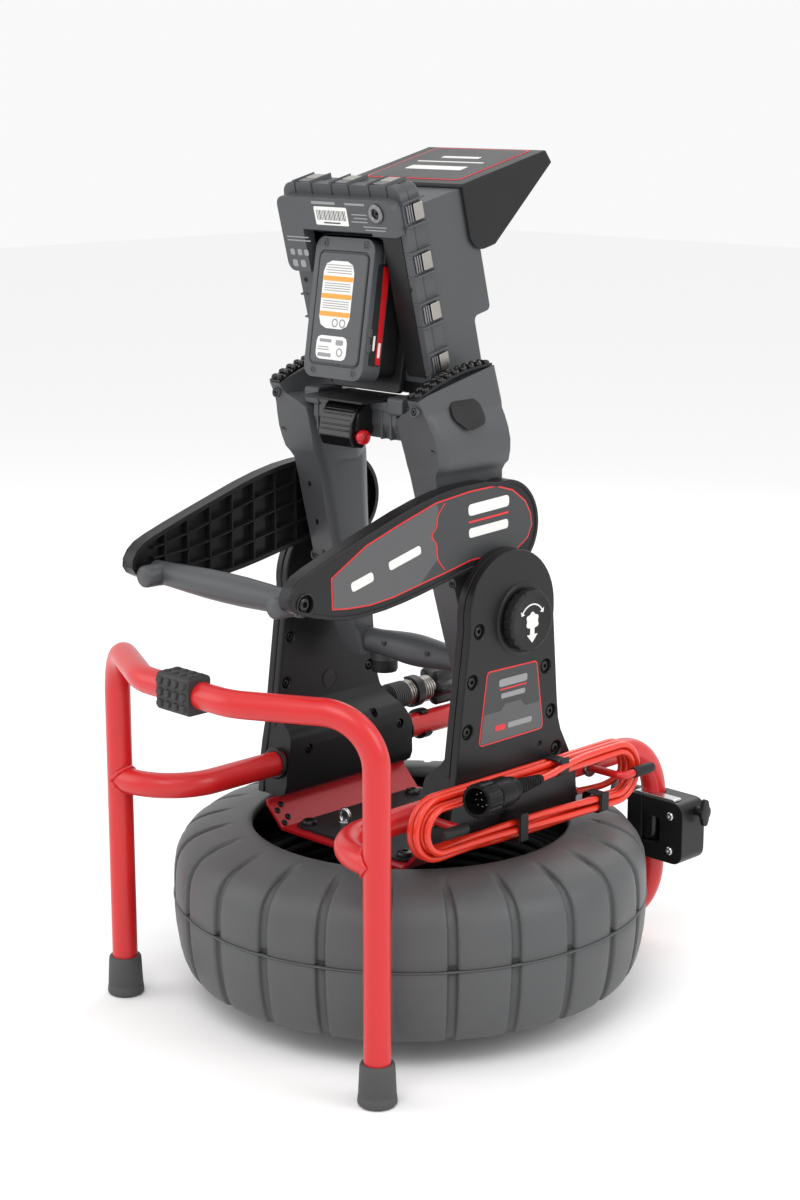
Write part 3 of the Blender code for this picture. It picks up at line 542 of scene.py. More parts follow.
def build_frame():
    half = [(LEG_X, LEG_Y, 8.0), (LEG_X, LEG_Y, HOOP_Z, 50.0), (HOOP_FLAT_X, HOOP_Y, HOOP_Z, 60.0)]
    hoop = bent(half + [(-c[0], *c[1:]) for c in reversed(half)])
    piece("hoop_tube", swept(hoop, TUBE_R, 32), RED, "frame", ("frame_front_hoop",))
    half = [(LEG_X - 2, LEG_Y, RAIL_Z), (RAIL_X, LEG_Y, RAIL_Z, 60.3), (RAIL_X, REAR_Y, RAIL_Z, 60.0),
            (RAIL_X, REAR_Y, LOW_Z, 78.0)]
    rail = bent(half + [(-c[0], *c[1:]) for c in reversed(half)])
    piece("main_tube", swept(rail, TUBE_R, 32), RED, "frame", ("frame_main_tube",))
    for side, word in SIDES:
        seam = []
        for i in range(64):
            a = 2 * math.pi * i / 64
            ripple = 0.35 * math.sin(11 * a)
            seam.append((side * (LEG_X - (TUBE_R + 0.4) * abs(math.sin(a)) ** 0.9 - 0.8),
                         LEG_Y + (TUBE_R + 0.6 + ripple) * math.cos(a),
                         RAIL_Z + (TUBE_R + 0.6 + ripple) * math.sin(a)))
        piece(f"weld_{word}", swept(seam, 1.9, 10, closed=True), RED, "frame")
        cap = [(0, 0), (15, 0), (17.2, 0.4), (18.3, 1.8), (18.5, 3.4), (18.2, 6), (17.9, 9), (17.3, 9.6),
               (17.2, 11),
               (17.6, 11.6), (16.4, 36), (16.1, 38.6), (15.2, 39.8), (13.2, 40), (12.9, 39.2), (12.9, 20),
               (0, 20)]
        piece(f"foot_cap_rubber_{word}", lay(turned(cap, 40), (0, 0, 1), (side * LEG_X, LEG_Y, 0)), RUBBER,
              "frame", (f"foot_cap_{word}",), angle=50)
    keep("rear_foot", RUBBER, 1.4)
    block = oblong(HOOP_Y - 12, HOOP_Y + 16.6, HOOP_Z - 17.8, HOOP_Z + 17.8, 4.5)
    piece("hoop_block", prism(block, -22.5, 22.5, "X"), STUD_BLACK, "frame", ("grip_block",),
          bevel=2.2)
    studs = []
    for i in range(4):
        for k in range(3):
            x, z = -16.2 + 10.8 * i, HOOP_Z - 10.8 + 10.8 * k
            studs.append(lay(turned([(0, 0), (4.3, 0), (3.8, 2.1), (3.1, 2.8), (0, 2.9)], 16), (0, 1, 0),
                             (x, HOOP_Y + 16.1, z)))
    for i in range(4):
        for k in range(2):
            studs.append(lay(turned([(0, 0), (3.9, 0), (3.5, 0.9), (2.8, 1.2), (0, 1.2)], 16), (0, 0, 1),
                             (-16.2 + 10.8 * i, HOOP_Y - 4 + 11 * k, HOOP_Z + 17.5)))
    piece("hoop_block_studs", merged(studs), STUD_BLACK, "frame")


def build_cradle():
    keep("hub_cradle", SHEET_RED, 1.0)
    keep("hub_plate", SOFT_BLACK, 0.8)
    bolts = [screw((x, y, 171), (0, 0, 1), 8.2, 5.2)
             for x, y in ((-68, 76), (68, 76), (-66, -70), (66, -70))]
    piece("cradle_bolts", merged(bolts), SCREW, "frame")
    eye = [(42 + 7 * math.cos(a), 51.5, 179.6 + 7 * math.sin(a)) for a in
           [math.radians(-60 + 300 * i / 20) for i in range(21)]]
    eye_parts = [swept(eye, 1.9, 12), lay(turned([(0, 0), (6, 0), (6, 2.6), (2.2, 3), (2.2, 6), (0, 6)], 18),
                                          (0, 0, 1), (42, 51.5, 171))]
    piece("cradle_eye_bolt", merged(eye_parts), STEEL, "frame")
    small = []
    for side in (-1, 1):
        for y, t in ((92, 0.12), (84, 0.30), (92, 0.62), (84, 0.80)):
            x, z = side * (86.2 + 21.4 * t), 168.0 + 20.9 * t
            small.append(screw((x, y, z), (-side * 0.70, 0, 0.714), 3.6, 2.4))
    piece("cradle_screws", merged(small), SCREW, "frame")
    posts = []
    for y in (-20, 12, 44):
        posts.append(lay(turned([(0, 0), (9, 0), (9, 5), (4.5, 6), (4.5, 15), (6.5, 16), (6.5, 21), (0, 21)],
                                16),
                         (0, 0, -1), (-30 + y * 0.4, y, 164.7)))
    piece("cradle_underside_bosses", merged(posts), DARK_STEEL, "frame")
    keep("drum_spindle", STEEL, 0.6)
    keep("bearing_lower", STEEL, 0.4)
    keep("bearing_upper", STEEL, 0.4)
    keep("slip_ring", SOFT_BLACK, 0.6)


# ---- drum

UPPER = ((238.6, 105.0, 1), (240, 106.6, 1), (240, 120, 1), (239.4, 132, 1), (237.4, 145, 1),
         (233.4, 154.6, 1),
         (227, 162.6, 1), (219, 168.2, 1), (210, 172.2, 1), (202, 174.8, 0.9), (195, 176.6, 0.55),
         (188.5, 178, 0.2),
         (182, 179, 0), (173, 179.9, 0), (165.5, 179.6, 0), (161.6, 178, 0), (160, 174.5, 0),
         (160, 169.5, 0),
         (162, 167, 0), (197, 166.5, 0), (216, 157, 0), (227, 147, 0), (232.5, 129, 0), (234, 105, 0))
LOWER = ((238.6, 104.4, 1), (240, 102.8, 1), (239.8, 90, 1), (238.6, 74, 1), (236.2, 58, 1),
         (232.9, 45, 0.9),
         (229.4, 36.5, 0.8), (225.6, 31.4, 0.62), (220.5, 29.3, 0.5), (212, 29, 0.2), (200, 30, 0),
         (80, 30.6, 0),
         (36, 30, 0), (32.6, 31.5, 0), (32.6, 35, 0), (215, 35.5, 0), (225, 49, 0), (232, 72, 0),
         (234, 104.4, 0))
SECTOR = (-7.5, -5.2, -3.2, -2.0, -1.4, -1.2, -1.05, -0.9, 0, 0.9, 1.05, 1.2, 1.4, 2.0, 3.2, 5.2)


def groove_depth(offset):
    """How deep the tread is cut, this many degrees from the middle of a groove."""
    away = abs(offset)
    return GROOVE_DEPTH * max(0.0, min(1.0, (1.3 - away) / 0.35))


def tread_shell(rows):
    """A shell of the drum with its tread grooves cut along the outline's own normal."""
    turns = []
    for g in range(GROOVES):
        turns += [(GROOVE_PHASE + 15 * g + s, s) for s in SECTOR]
    made = []
    for k, (radius, height, weight) in enumerate(rows):
        before, after = rows[k - 1], rows[(k + 1) % len(rows)]
        along = Vector((after[0] - before[0], after[1] - before[1])).normalized()
        inward = Vector((-along.y, along.x)) if rows is UPPER else Vector((along.y, -along.x))
        ring = []
        for degrees, offset in turns:
            depth = weight * groove_depth(offset)
            r = radius + inward.x * depth - 1.6 * weight * max(0.0, 1 - abs(offset) / 4.0) ** 2
            a = math.radians(degrees)
            ring.append((r * math.cos(a), r * math.sin(a), height + inward.y * depth))
        made.append(ring)
    return skin(made, closed=True)


def build_drum():
    piece("drum_tread_upper", tread_shell(UPPER), DRUM, "drum", ("drum_shell_upper",),
          angle=60)
    piece("drum_tread_lower", tread_shell(LOWER), DRUM, "drum", ("drum_shell_lower",),
          angle=60)
    lip = [(239.2, 103.8), (240.5, 104.1), (240.8, 104.7), (240.5, 105.3), (239.2, 105.6), (236, 105.2),
           (236, 104.2)]
    piece("drum_seam_lip", turned(lip, 180, ring=True), DRUM, "drum", angle=60)
    keep("drum_hub", BLACK, 1.5)
    rings = []
    spots = [(156.5, 42 + 11 * k) for k in range(7)] + [(162 + 11 * k, 117.5 - 0.3 * k) for k in range(6)]
    spots += [(167.5 + 10.6 * k, 41.2) for k in range(4)] + [(220, 56 + 10.8 * k) for k in range(5)]
    for radius, height in spots:
        circle = [(radius * math.cos(a), radius * math.sin(a), height + 0.8 * math.sin(3 * a + radius))
                  for a in [2 * math.pi * i / 72 for i in range(72)]]
        rings.append(swept(circle, 5.3, 8, closed=True))
    piece("push_cable_turns", merged(rings), SOFT_BLACK, "drum", ("push_cable_coil",),
          angle=60)


# ---- docking plates and knobs

def plate_outline(base):
    low_front = [p for p in ((86, 193), (84.5, 210), (83, 226), (80, 244), (76, 262),
                             (73.5, 284)) if p[1] >= base]
    low_rear = [p for p in ((-68, 312), (-70, 295), (-74, 282), (-80, 271), (-89, 254), (-97, 238),
                            (-99, 215),
                            (-99, 193)) if p[1] >= base]
    return low_front + arc((-1.5, 413), 59.5, -8, 188, 28) + low_rear


PLATE_SCREWS = ((44.6, 400.7), (53.6, 353), (60, 305.4), (-49.8, 350.4), (-58.2, 303.4), (-66.8, 264.0))
INNER_SCREWS = PLATE_SCREWS[:5] + ((52, 243.6), (-79, 244), (-14.5, 240.6))
LABEL = ((34.4, 360), (-36.5, 359), (-46.8, 288.5), (46, 287.7))


def shrunk(outline, by):
    """The convex outline moved in by this much."""
    area = sum(Vector(p).cross(Vector(q)) for p, q in zip(outline, list(outline[1:]) + [outline[0]]))
    moved = []
    for i, corner in enumerate(outline):
        here = Vector(corner)
        before = (here - Vector(outline[i - 1])).normalized()
        after = (Vector(outline[(i + 1) % len(outline)]) - here).normalized()
        turn = 1 if area > 0 else -1
        normal = (Vector((-before.y, before.x)) + Vector((-after.y, after.x))) * turn
        reach = by / max(0.35, normal.length / 2)
        moved.append(tuple(here + normal.normalized() * reach))
    return moved


def sticker(name, outline, side, face, body, radius, border):
    """A bordered label on a face that looks along side * X."""
    corners = rounded(list(outline), radius, 4) if radius else list(outline)
    piece(f"{name}_border", prism(corners, side * face, side * (face + 0.35), "X"), LABEL_RED, body)
    inner = shrunk(corners, border)
    piece(f"{name}_field", prism(inner, side * (face + 0.1), side * (face + 0.55), "X"), LABEL_DARK, body)


def bars(name, spots, side, face, body, look, slant=0.0):
    """Plain bars, each (y, z, length, height), that stand for printing."""
    made = []
    for y, z, length, height in spots:
        box = rounded([(-length / 2, -height / 2), (length / 2, -height / 2), (length / 2, height / 2),
                       (-length / 2, height / 2)], min(height, length) * 0.3, 2)
        turn = math.radians(slant)
        box = [(y + a * math.cos(turn) - b * math.sin(turn),
                z + a * math.sin(turn) + b * math.cos(turn)) for a, b in box]
        made.append(prism(box, side * face, side * (face + 0.75), "X"))
    piece(name, merged(made), look, body)


def build_plates():
    for side, word in SIDES:
        outer = piece(f"dock_plate_{word}", prism(plate_outline(190), side * PLATE_MID, side * PLATE_OUT,
                                                  "X"), BLACK,
                      "frame", (f"side_plate_{word}_outer",), bevel=2.6, segments=4)
        made = [pocket((side * (PLATE_OUT - 0.2), y, z), (side, 0, 0), 7.6, 4.6) for y, z in PLATE_SCREWS]
        made.append(pocket((side * (PLATE_OUT - 0.2), -42.7, 273), (side, 0, 0), 2.6, 3))
        cut(outer, merged(made))
        heads = [screw((side * (PLATE_OUT - 4.8), y, z), (side, 0, 0), 5.2, 3.6) for y, z in PLATE_SCREWS]
        piece(f"dock_plate_screws_{word}", merged(heads), SCREW, "frame")
        boss = [(0, -3), (36, -3), (36, 0.4), (34.6, 1.2), (31.5, 1.2), (31, 0.2), (0, 0.2)]
        piece(f"dock_boss_{word}", lay(turned(boss, 64), (side, 0, 0), (side * PLATE_OUT, DOCK_Y, DOCK_Z)),
              BLACK,
              "frame")
        inner = piece(f"dock_plate_inner_{word}",
                      prism(plate_outline(250), side * PLATE_IN, side * (PLATE_MID - 0.3), "X"),
                      BLACK, "frame", (f"side_plate_{word}_inner",), bevel=2.0)
        made = [pocket((side * (PLATE_IN + 0.2), y, z), (-side, 0, 0), 5.8, 4.5) for y,
                z in INNER_SCREWS[:5]]
        cut(inner, merged(made))
        build_saddle(side, word)
        sticker(f"dock_label_{word}", LABEL, side, PLATE_OUT, "frame", 5.0, 1.5)
        lower = [(-44.2, 290.6), (43.6, 289.8), (38.6, 318), (15, 318), (9, 324), (-13, 324), (-19, 317),
                 (-40.4, 317)]
        piece(f"dock_label_band_{word}", prism(lower, side * (PLATE_OUT + 0.3), side * (PLATE_OUT + 0.62),
                                               "X"), LABEL_MID,
              "frame")
        bars(f"dock_label_marks_{word}", ((-2, 345.5, 40, 7.5), (-2, 332.5, 34, 5), (-12, 302, 34, 5.5)),
             side,
             PLATE_OUT + 0.1, "frame", LABEL_GREY)
        bars(f"dock_label_red_marks_{word}", ((-2, 339.2, 38, 1.5), (16, 302, 14, 5.5)), side,
             PLATE_OUT + 0.1, "frame",
             LABEL_RED)
        build_knob(side, word)


def build_saddle(side, word):
    """The saddle that bulges in from the plate's foot and wraps the side rail."""
    face = PLATE_MID - 0.3 - RAIL_X
    section = [(face, 193 - RAIL_Z), (-6, 193 - RAIL_Z), (-12, 197 - RAIL_Z), (-15, 205 - RAIL_Z)]
    section += [(-15.5, 15)] + arc((2.5, 20), 18, 165, 128, 5) + [(3.5, 44), (8.6, 52), (9.5, 56.3),
                                                                  (face, 56.3)]
    section = [(side * (RAIL_X + a), RAIL_Z + b) for a, b in section]
    saddle = piece(f"rail_saddle_{word}", prism(section, -98, 84, "Y"), BLACK, "frame",
                   bevel=1.6,
                   angle=28)
    trim = [(85, 190), (82, 226), (75, 262), (71, 284), (71, 300), (-69, 300), (-71, 284), (-80, 268),
            (-97, 240),
            (-98.5, 190)]
    cut(saddle, prism(trim, side * 80, side * 140, "X"), operation="INTERSECT")
    collars = []
    for y, way in ((84, 1), (-98, -1)):
        ring = [(TUBE_R + 0.2, 0), (16.2, 0), (16.2, 1.6), (14.6, 2.8), (TUBE_R + 0.2, 2.8)]
        collars.append(lay(turned(ring, 36, ring=True), (0, way, 0), (side * RAIL_X, y, RAIL_Z)))
    piece(f"saddle_collars_{word}", merged(collars), BLACK, "frame")
    holes, heads = [], []
    for y, z in INNER_SCREWS[5:]:
        place = (side * (RAIL_X - 15.3), y, z - 4)
        holes.append(pocket((place[0] + side * 0.1, y, z - 4), (-side, 0, 0), 5.6, 4.0))
        heads.append(screw((side * (RAIL_X - 11.4), y, z - 4), (-side, 0, 0), 4.2, 2.6))
    holes.append(lay(prism(oblong(-9, 9, -4.2, 4.2, 4.1), -4, 4, "Z"), (-side, 0, 0),
                     (side * 97, -43.8, 262)))
    cut(saddle, merged(holes))
    for y, z in INNER_SCREWS[:5]:
        heads.append(screw((side * (PLATE_IN + 4.4), y, z), (-side, 0, 0), 4.4, 3.0))
    heads.append(lay(turned([(0, 0), (10, 0), (10, 0.7), (8.8, 0.7), (8.8, 0.3), (0, 0.3)], 32),
                     (-side, 0, 0),
                     (side * PLATE_IN, -0.7, 299.7)))
    piece(f"inner_plate_screws_{word}", merged(heads), SCREW, "frame")


def build_knob(side, word):
    near = PLATE_OUT + 1.4
    scallop = ripple(-1.3, 18, (3, 4, 5), 3)
    profile = [(0, near - 1), (24, near - 1), (24, near + 0.8), (29.6, near + 1.4), (30, near + 3),
               (30, near + 10),
               (28.6, near + 11.4), (26, near + 11.9), (25.2, near + 11.4), (0, near + 11.2)]
    place = (0, DOCK_Y, DOCK_Z)
    piece(f"dock_knob_grip_{word}", lay(turned(profile, 108, shape=scallop), (side, 0, 0), place),
          SOFT_BLACK,
          f"knob_{word}", (f"dock_knob_{word}",), angle=40)
    shaft = turned([(0, 89), (5.6, 89), (6, 89.6), (6, near), (0, near)], 28)
    piece(f"dock_knob_shaft_{word}", lay(shaft, (side, 0, 0), place), STEEL, f"knob_{word}")
    face = near + 11.15
    lobes = ripple(0.9, 6, range(4))
    hub = lay(turned([(0, face), (8.4, face), (8.4, face + 0.7), (0, face + 0.7)], 60, shape=lobes),
              (side, 0, 0), place)
    arrow = [(-3, 0), (3, 0), (3, -13), (7.5, -13), (0, -21), (-7.5, -13), (-3, -13)]
    arrow = prism([(DOCK_Y + a, DOCK_Z + b) for a, b in arrow], side * face, side * (face + 0.5), "X")
    piece(f"dock_knob_arrow_{word}", merged([hub, arrow]), LABEL_WHITE, f"knob_{word}")
    band = arc((DOCK_Y, DOCK_Z), 17.2, 35, 145, 20) + arc((DOCK_Y, DOCK_Z), 15.8, 145, 35, 20)
    tips = []
    for end in (35, 145):
        a = math.radians(end)
        y, z = DOCK_Y + 16.5 * math.cos(a), DOCK_Z + 16.5 * math.sin(a)
        way = -1 if end == 35 else 1
        tip = [(3.4 * math.cos(a + b), 3.4 * math.sin(a + b)) for b in (0, math.pi, way * math.pi / 2)]
        tips.append(prism([(y + p, z + q) for p, q in tip], side * face, side * (face + 0.5), "X"))
    piece(f"dock_knob_marks_{word}", merged([prism(band, side * face, side * (face + 0.5), "X")] + tips),
          LABEL_WHITE, f"knob_{word}")


# ---- stand

LEG_LEVELS = ((62, 92, -24, 6, 336), (62, 94.5, -26.5, 10, 348), (62, 97, -28, 14.5, 362),
              (62.6, 98.8, -29.4, 21.5, 380),
              (63, 100, -30, 28, 400), (63, 101, -30, 38, 433), (62.6, 101, -29, 46, 465),
              (62, 101, -28, 54, 497),
              (61, 101, -27.4, 60, 522), (60, 101.6, -27, 65.4, 543), (60, 105.4, -27, 68, 549),
              (59.4, 110, -27, 69.6, 553),
              (58.2, 113, -26, 72, 563), (57, 114.2, -25, 75, 574), (56, 112.6, -23.6, 78.4, 586),
              (56.4, 109.6, -22, 82, 597), (68, 107, -21, 84.4, 603), (83, 104.6, -20, 87, 609))
STRIP_R, TEETH = 240.7, 10


def strip_height(y):
    """The height of the toothed strip's underside at this Y."""
    return DOCK_Z + math.sqrt(STRIP_R ** 2 - (y - DOCK_Y) ** 2)


def leg_row(side, inner, outer, rear, front, height):
    depth, width = front - rear, outer - inner
    spots = [(inner, front - 0.08 * depth), (inner + 0.1 * width, front), (outer - 0.1 * width, front),
             (outer, front - 0.1 * depth), (outer, rear + 0.06 * depth), (outer - 0.15 * width, rear),
             (inner + 0.5 * width, rear + 0.1 * depth), (inner, rear + 0.45 * depth)]
    return [(side * x, y, height(y) if callable(height) else height) for x, y in spots]


def build_stand():
    for side, word in SIDES:
        rows = [leg_row(side, *level) for level in LEG_LEVELS]
        rows.append(leg_row(side, 86, 103, -10, 93, strip_height))
        leg = piece(f"stand_leg_shell_{word}", skin(rows), GREY, "stand",
                    (f"stand_leg_{word}",),
                    bevel=3.2, segments=4, angle=38)
        hollow = rounded([(-16, 362), (14, 362), (40, 500), (48, 540), (-12, 540), (-18, 500)], 8, 4)
        cut(leg, prism(hollow, side * 50, side * 66.5, "X"))
        bore = lay(turned([(0, 86), (6.4, 86), (6.4, 130), (0, 130)], 24), (side, 0, 0), (0, DOCK_Y, DOCK_Z))
        cut(leg, bore)
        build_leg_details(side, word)
        build_teeth(side, word)
        keep(f"arm_pin_{word}", STEEL, 0.8)
        keep(f"monitor_pivot_{word}", DARK_STEEL, 0.6)
    bridge = [(22, 577), (70, 575), (77, 590), (76, 610), (60, 608), (26, 606)]
    piece("stand_bridge_shell", prism(rounded(bridge, 5, 4), -57, 57, "X"), GREY, "stand",
          ("stand_bridge",), bevel=1.8)
    ribs = [prism(oblong(x - 1.2, x + 1.2, 576, 606, 1, 2), 60, 77.6, "Y") for x in (-50, -38, 38, 50)]
    ribs.append(prism(oblong(-48, 48, 603, 611.5, 3, 3), 50, 78, "Y"))
    piece("stand_bridge_ribs", merged(ribs), GREY, "stand", bevel=0.5)
    cradle = [(41, 604), (77, 604), (77.4, 611.4), (100, 611.4), (107, 611.8), (107, 613.8), (41, 613.8)]
    piece("stand_cradle", prism(rounded(cradle, [1.2, 1.2, 1.2, 1.2, 0.2, 0.8, 1.2], 3), -42, 42, "X"),
          BLACK, "stand", bevel=1.0)
    deck = [prism(oblong(46, 79, 600, 616.5, 3), side * 47, side * 67, "X") for side in (-1, 1)]
    piece("stand_deck", merged(deck), GREY, "stand", bevel=1.2)
    grip = [(0, -63), (12.2, -63), (12.4, -52), (13, -44), (14.6, -28), (16, -10), (16.2, 0), (16, 10),
            (14.6, 28),
            (13, 44), (12.4, 52), (12.2, 63), (0, 63)]
    piece("stand_grip", lay(turned(grip, 40), (1, 0, 0), (0, -7, 350)), GREY, "stand",
          ("stand_handle",), angle=50)
    holes = [lay(turned([(0, 0), (2.6, 0), (2.6, 0.8), (0, 0.5)], 16), (0, 1, 0),
                 (x, 8.6 - 0.02 * abs(x), 354))
             for x in (-30, 30)]
    piece("stand_grip_screws", merged(holes), SCREW, "stand")
    for side, word in SIDES:
        elbow = flowing([(side * 60, -16, 349), (side * 63, -21, 340), (side * 62, -23, 331),
                         (side * 61, -23.6, 324)], 5)
        piece(f"stand_elbow_{word}", swept(elbow, [13.4 - 0.06 * i for i in range(16)], 24), GREY, "stand",
              angle=50)
        cup = [(0, 0), (12.6, 0), (13.6, 1.4), (13.8, 10), (12.8, 12.5), (0, 12.8)]
        piece(f"stand_bumper_{word}", lay(turned(cup, 32), (0, 0, -1), (side * 61, -23.6, 327)), SOFT_BLACK,
              "stand",
              angle=50)


def build_leg_details(side, word):
    spots = ((94.4, 90.6, 609), (102.3, 73.6, 574), (66, 73.4, 603), (63.5, 70.6, 586), (89, 62.5, 547),
             (84, 49.5, 505),
             (96, 40, 440))
    wells = [lay(turned([(0, -1.6), (3.4, -1.6), (4.1, 0.9), (4.9, 1.0), (5.2, 0.2), (5.2, -2), (0, -2)],
                        22), (0, 1, 0.12),
                 (side * x, y, z)) for x, y, z in spots]
    piece(f"stand_leg_bosses_{word}", merged(wells), GREY, "stand", angle=50)
    heads = [screw((side * x, y - 0.6, z), (0, 1, 0.12), 3.5, 1.7) for x, y, z in spots]
    piece(f"stand_leg_screws_{word}", merged(heads), SCREW, "stand")
    slots = [lay(prism(oblong(-1.6, 1.6, -6, 6, 1.5, 3), 0, 1.4, "Z"), (0, 1, 0.1), (side * 82, y, z))
             for y, z in ((57.8, 520), (48.2, 480), (40.4, 446))]
    piece(f"stand_leg_slots_{word}", merged(slots), SCREW, "stand")
    pad = rounded([(14, 593), (40, 588), (56, 600), (54, 617), (26, 620), (15, 610)], 9.5, 6)
    face = 109.4
    rows = [[(side * (x + (z - 603) * -0.52), y, z) for y, z in outline]
            for x, outline in ((face - 3, pad), (face + 0.9, pad), (face + 1.5, shrunk(pad, 1.2)))]
    piece(f"stand_pad_{word}", skin(rows), SOFT_BLACK, "stand", angle=50)
    seam = [(side * 101.2, 10 + 0.18 * (z - 440), z) for z in range(360, 541, 20)]
    piece(f"stand_leg_seam_{word}", swept(seam, 0.55, 6), GREY, "stand")


def build_teeth(side, word):
    """The strip of glossy teeth over a leg's top, about the docking axis."""
    centre, start, end = (DOCK_Y, DOCK_Z), math.degrees(math.acos(109.5 / 247)), 88.0
    base = arc(centre, 243.2, start, end, 24) + arc(centre, 240.9, end, start, 24)
    parts = [prism(base, side * 87, side * 101.5, "X")]
    for i in range(TEETH):
        a = math.radians(start + (end - start) * (i + 0.5) / TEETH)
        out = Vector((0, math.cos(a), math.sin(a)))
        for x, r in ((90.4, 3.5), (98.1, 3.5)):
            knob = [(0, 0), (r, 0), (r, 1.8), (0.82 * r, 3.2), (0.4 * r, 3.8), (0, 3.9)]
            parts.append(lay(turned(knob, 16), out, Vector((side * x, DOCK_Y, DOCK_Z)) + out * 242.6))
        link = [(0, -4.6), (1.5, -4.6), (1.5, 4.6), (0, 4.6)]
        parts.append(lay(turned(link, 12), (1, 0, 0), Vector((side * 94.3, DOCK_Y, DOCK_Z)) + out * 244.6))
    piece(f"stand_teeth_{word}", merged(parts), GLOSS, "stand", (f"tooth_strip_{word}",),
          angle=45)


# ---- folding arms

ARM_TOP = ((267, 459), (266, 467), (261, 474.6), (253, 481), (240, 486.6), (219, 494), (199, 500.6),
           (178, 507.4),
           (154, 515), (130, 522.6), (104, 529.6), (78, 534.8), (56, 537.4), (35, 538.2), (18, 538.2))
ARM_LOW = ((6, 446.6), (14, 452), (22, 456.4), (32, 456.6), (59, 452), (82, 447.6), (105, 443), (128, 439),
           (151, 436),
           (182, 434), (202, 435), (219, 438), (240, 443.4), (256, 448.6), (263, 452.6))
ARM_LABEL = ((218, 476), (217, 447), (199, 444.6), (170, 443.4), (140, 446), (105, 452.4), (68, 459),
             (38, 465),
             (27, 465.4), (18, 461), (6, 460), (-20, 463), (-42, 476), (-48, 488), (-46, 500), (-38, 513),
             (-20, 526), (4, 533), (40, 532), (85, 527), (130, 514), (175, 499.6))


def arm_outline():
    return list(ARM_TOP) + arc((ARM_Y, ARM_Z), 46.5, 76, 288, 30) + list(ARM_LOW)


def build_arms():
    outline = arm_outline()
    for side, word in SIDES:
        shell = piece(f"arm_shell_{word}", prism(outline, side * 110.6, side * ARM_OUT, "X"), BLACK, "arms",
                      (f"arm_{word}",), bevel=3.0, segments=4, angle=50)
        cut(shell, pocket((side * ARM_OUT, 249, 457), (side, 0, 0), 9.8, 4.6))
        rim = piece(f"arm_rim_{word}", prism(outline, side * ARM_IN, side * 111, "X"), BLACK, "arms")
        cut(rim, prism(shrunk(outline, 4.2), side * (ARM_IN - 2), side * 113, "X"))
        raised = piece(f"arm_edge_{word}", prism(outline, side * 114, side * (ARM_OUT + 1.2), "X"), BLACK,
                       "arms",
                       bevel=1.1, angle=50)
        cut(raised, prism(shrunk(outline, 4.0), side * 112, side * 121, "X"))
        piece(f"arm_lattice_{word}", arm_lattice(side, outline), BLACK, "arms")
        sticker(f"arm_label_{word}", ARM_LABEL, side, ARM_OUT, "arms", 0, 1.5)
        tone = [p for p in shrunk(list(ARM_LABEL), 1.5) if p[0] > 72]
        tone += [(82, 520), (84, 508), (90, 497), (84, 486), (82, 474)]
        tone.sort(key=lambda p: math.atan2(p[1] - 485, p[0] - 140))
        piece(f"arm_label_tone_{word}", prism(tone, side * (ARM_OUT + 0.45), side * (ARM_OUT + 0.7), "X"),
              LABEL_MID,
              "arms")
        divide = flowing([(74.5, 525), (84, 514), (85.5, 504), (92, 496), (85.5, 487), (84, 474),
                          (74.5, 462)], 4)
        edge = [(p.x, p.y) for p in divide]
        edge = edge + [(y - 1.5, z) for y, z in reversed(edge)]
        piece(f"arm_label_divide_{word}", prism(edge, side * (ARM_OUT + 0.45), side * (ARM_OUT + 0.95), "X"),
              LABEL_RED, "arms")
        bars(f"arm_marks_{word}", ((14, 515, 56, 11), (14, 493, 54, 9)), side, ARM_OUT + 0.1, "arms",
             LABEL_WHITE, -3)
        bars(f"arm_marks_side_{word}", ((126, 481, 42, 8.5), (180, 467, 28, 9)), side, ARM_OUT + 0.3, "arms",
             LABEL_WHITE, -14)
        bars(f"arm_red_marks_{word}", ((14, 503.6, 55, 2),), side, ARM_OUT + 0.1, "arms", LABEL_RED, -3)
        cap = screw((side * (ARM_OUT - 4.4), 249, 457), (side, 0, 0), 6.6, 4.4)
        ring = lay(turned([(8.6, -3), (10.6, -3), (10.6, 0.6), (9.9, 1.1), (9.2, 0.9), (8.6, -1)], 36,
                          ring=True),
                   (side, 0, 0), (side * (ARM_OUT + 0.2), 249, 457))
        piece(f"arm_bolt_{word}", merged([cap, ring]), SCREW, "arms")
        hub = turned([(8.8, ARM_IN), (20, ARM_IN), (20, 112), (8.8, 112)], 36, ring=True)
        piece(f"arm_hub_{word}", lay(hub, (side, 0, 0), (0, ARM_Y, ARM_Z)), BLACK, "arms")
    bar = [(0, -102), (11, -102), (11.2, -90), (11.4, -80), (12.6, -55), (13.8, -25), (14, 0), (13.8, 25),
           (12.6, 55),
           (11.4, 80), (11.2, 90), (11, 102), (0, 102)]
    piece("carry_bar", lay(turned(bar, 40), (1, 0, 0), (0, 238, 452)), GREY, "arms",
          ("handle_grip",),
          angle=50)
    for side, word in SIDES:
        stub = [(0, 0), (11.4, 0), (10.8, 8), (10.6, 22), (10, 24.6), (8.6, 26), (0, 26.2)]
        piece(f"carry_bumper_{word}", lay(turned(stub, 36), (0, 1, 0), (side * 91, 238, 452)), GREY, "arms",
              angle=50)


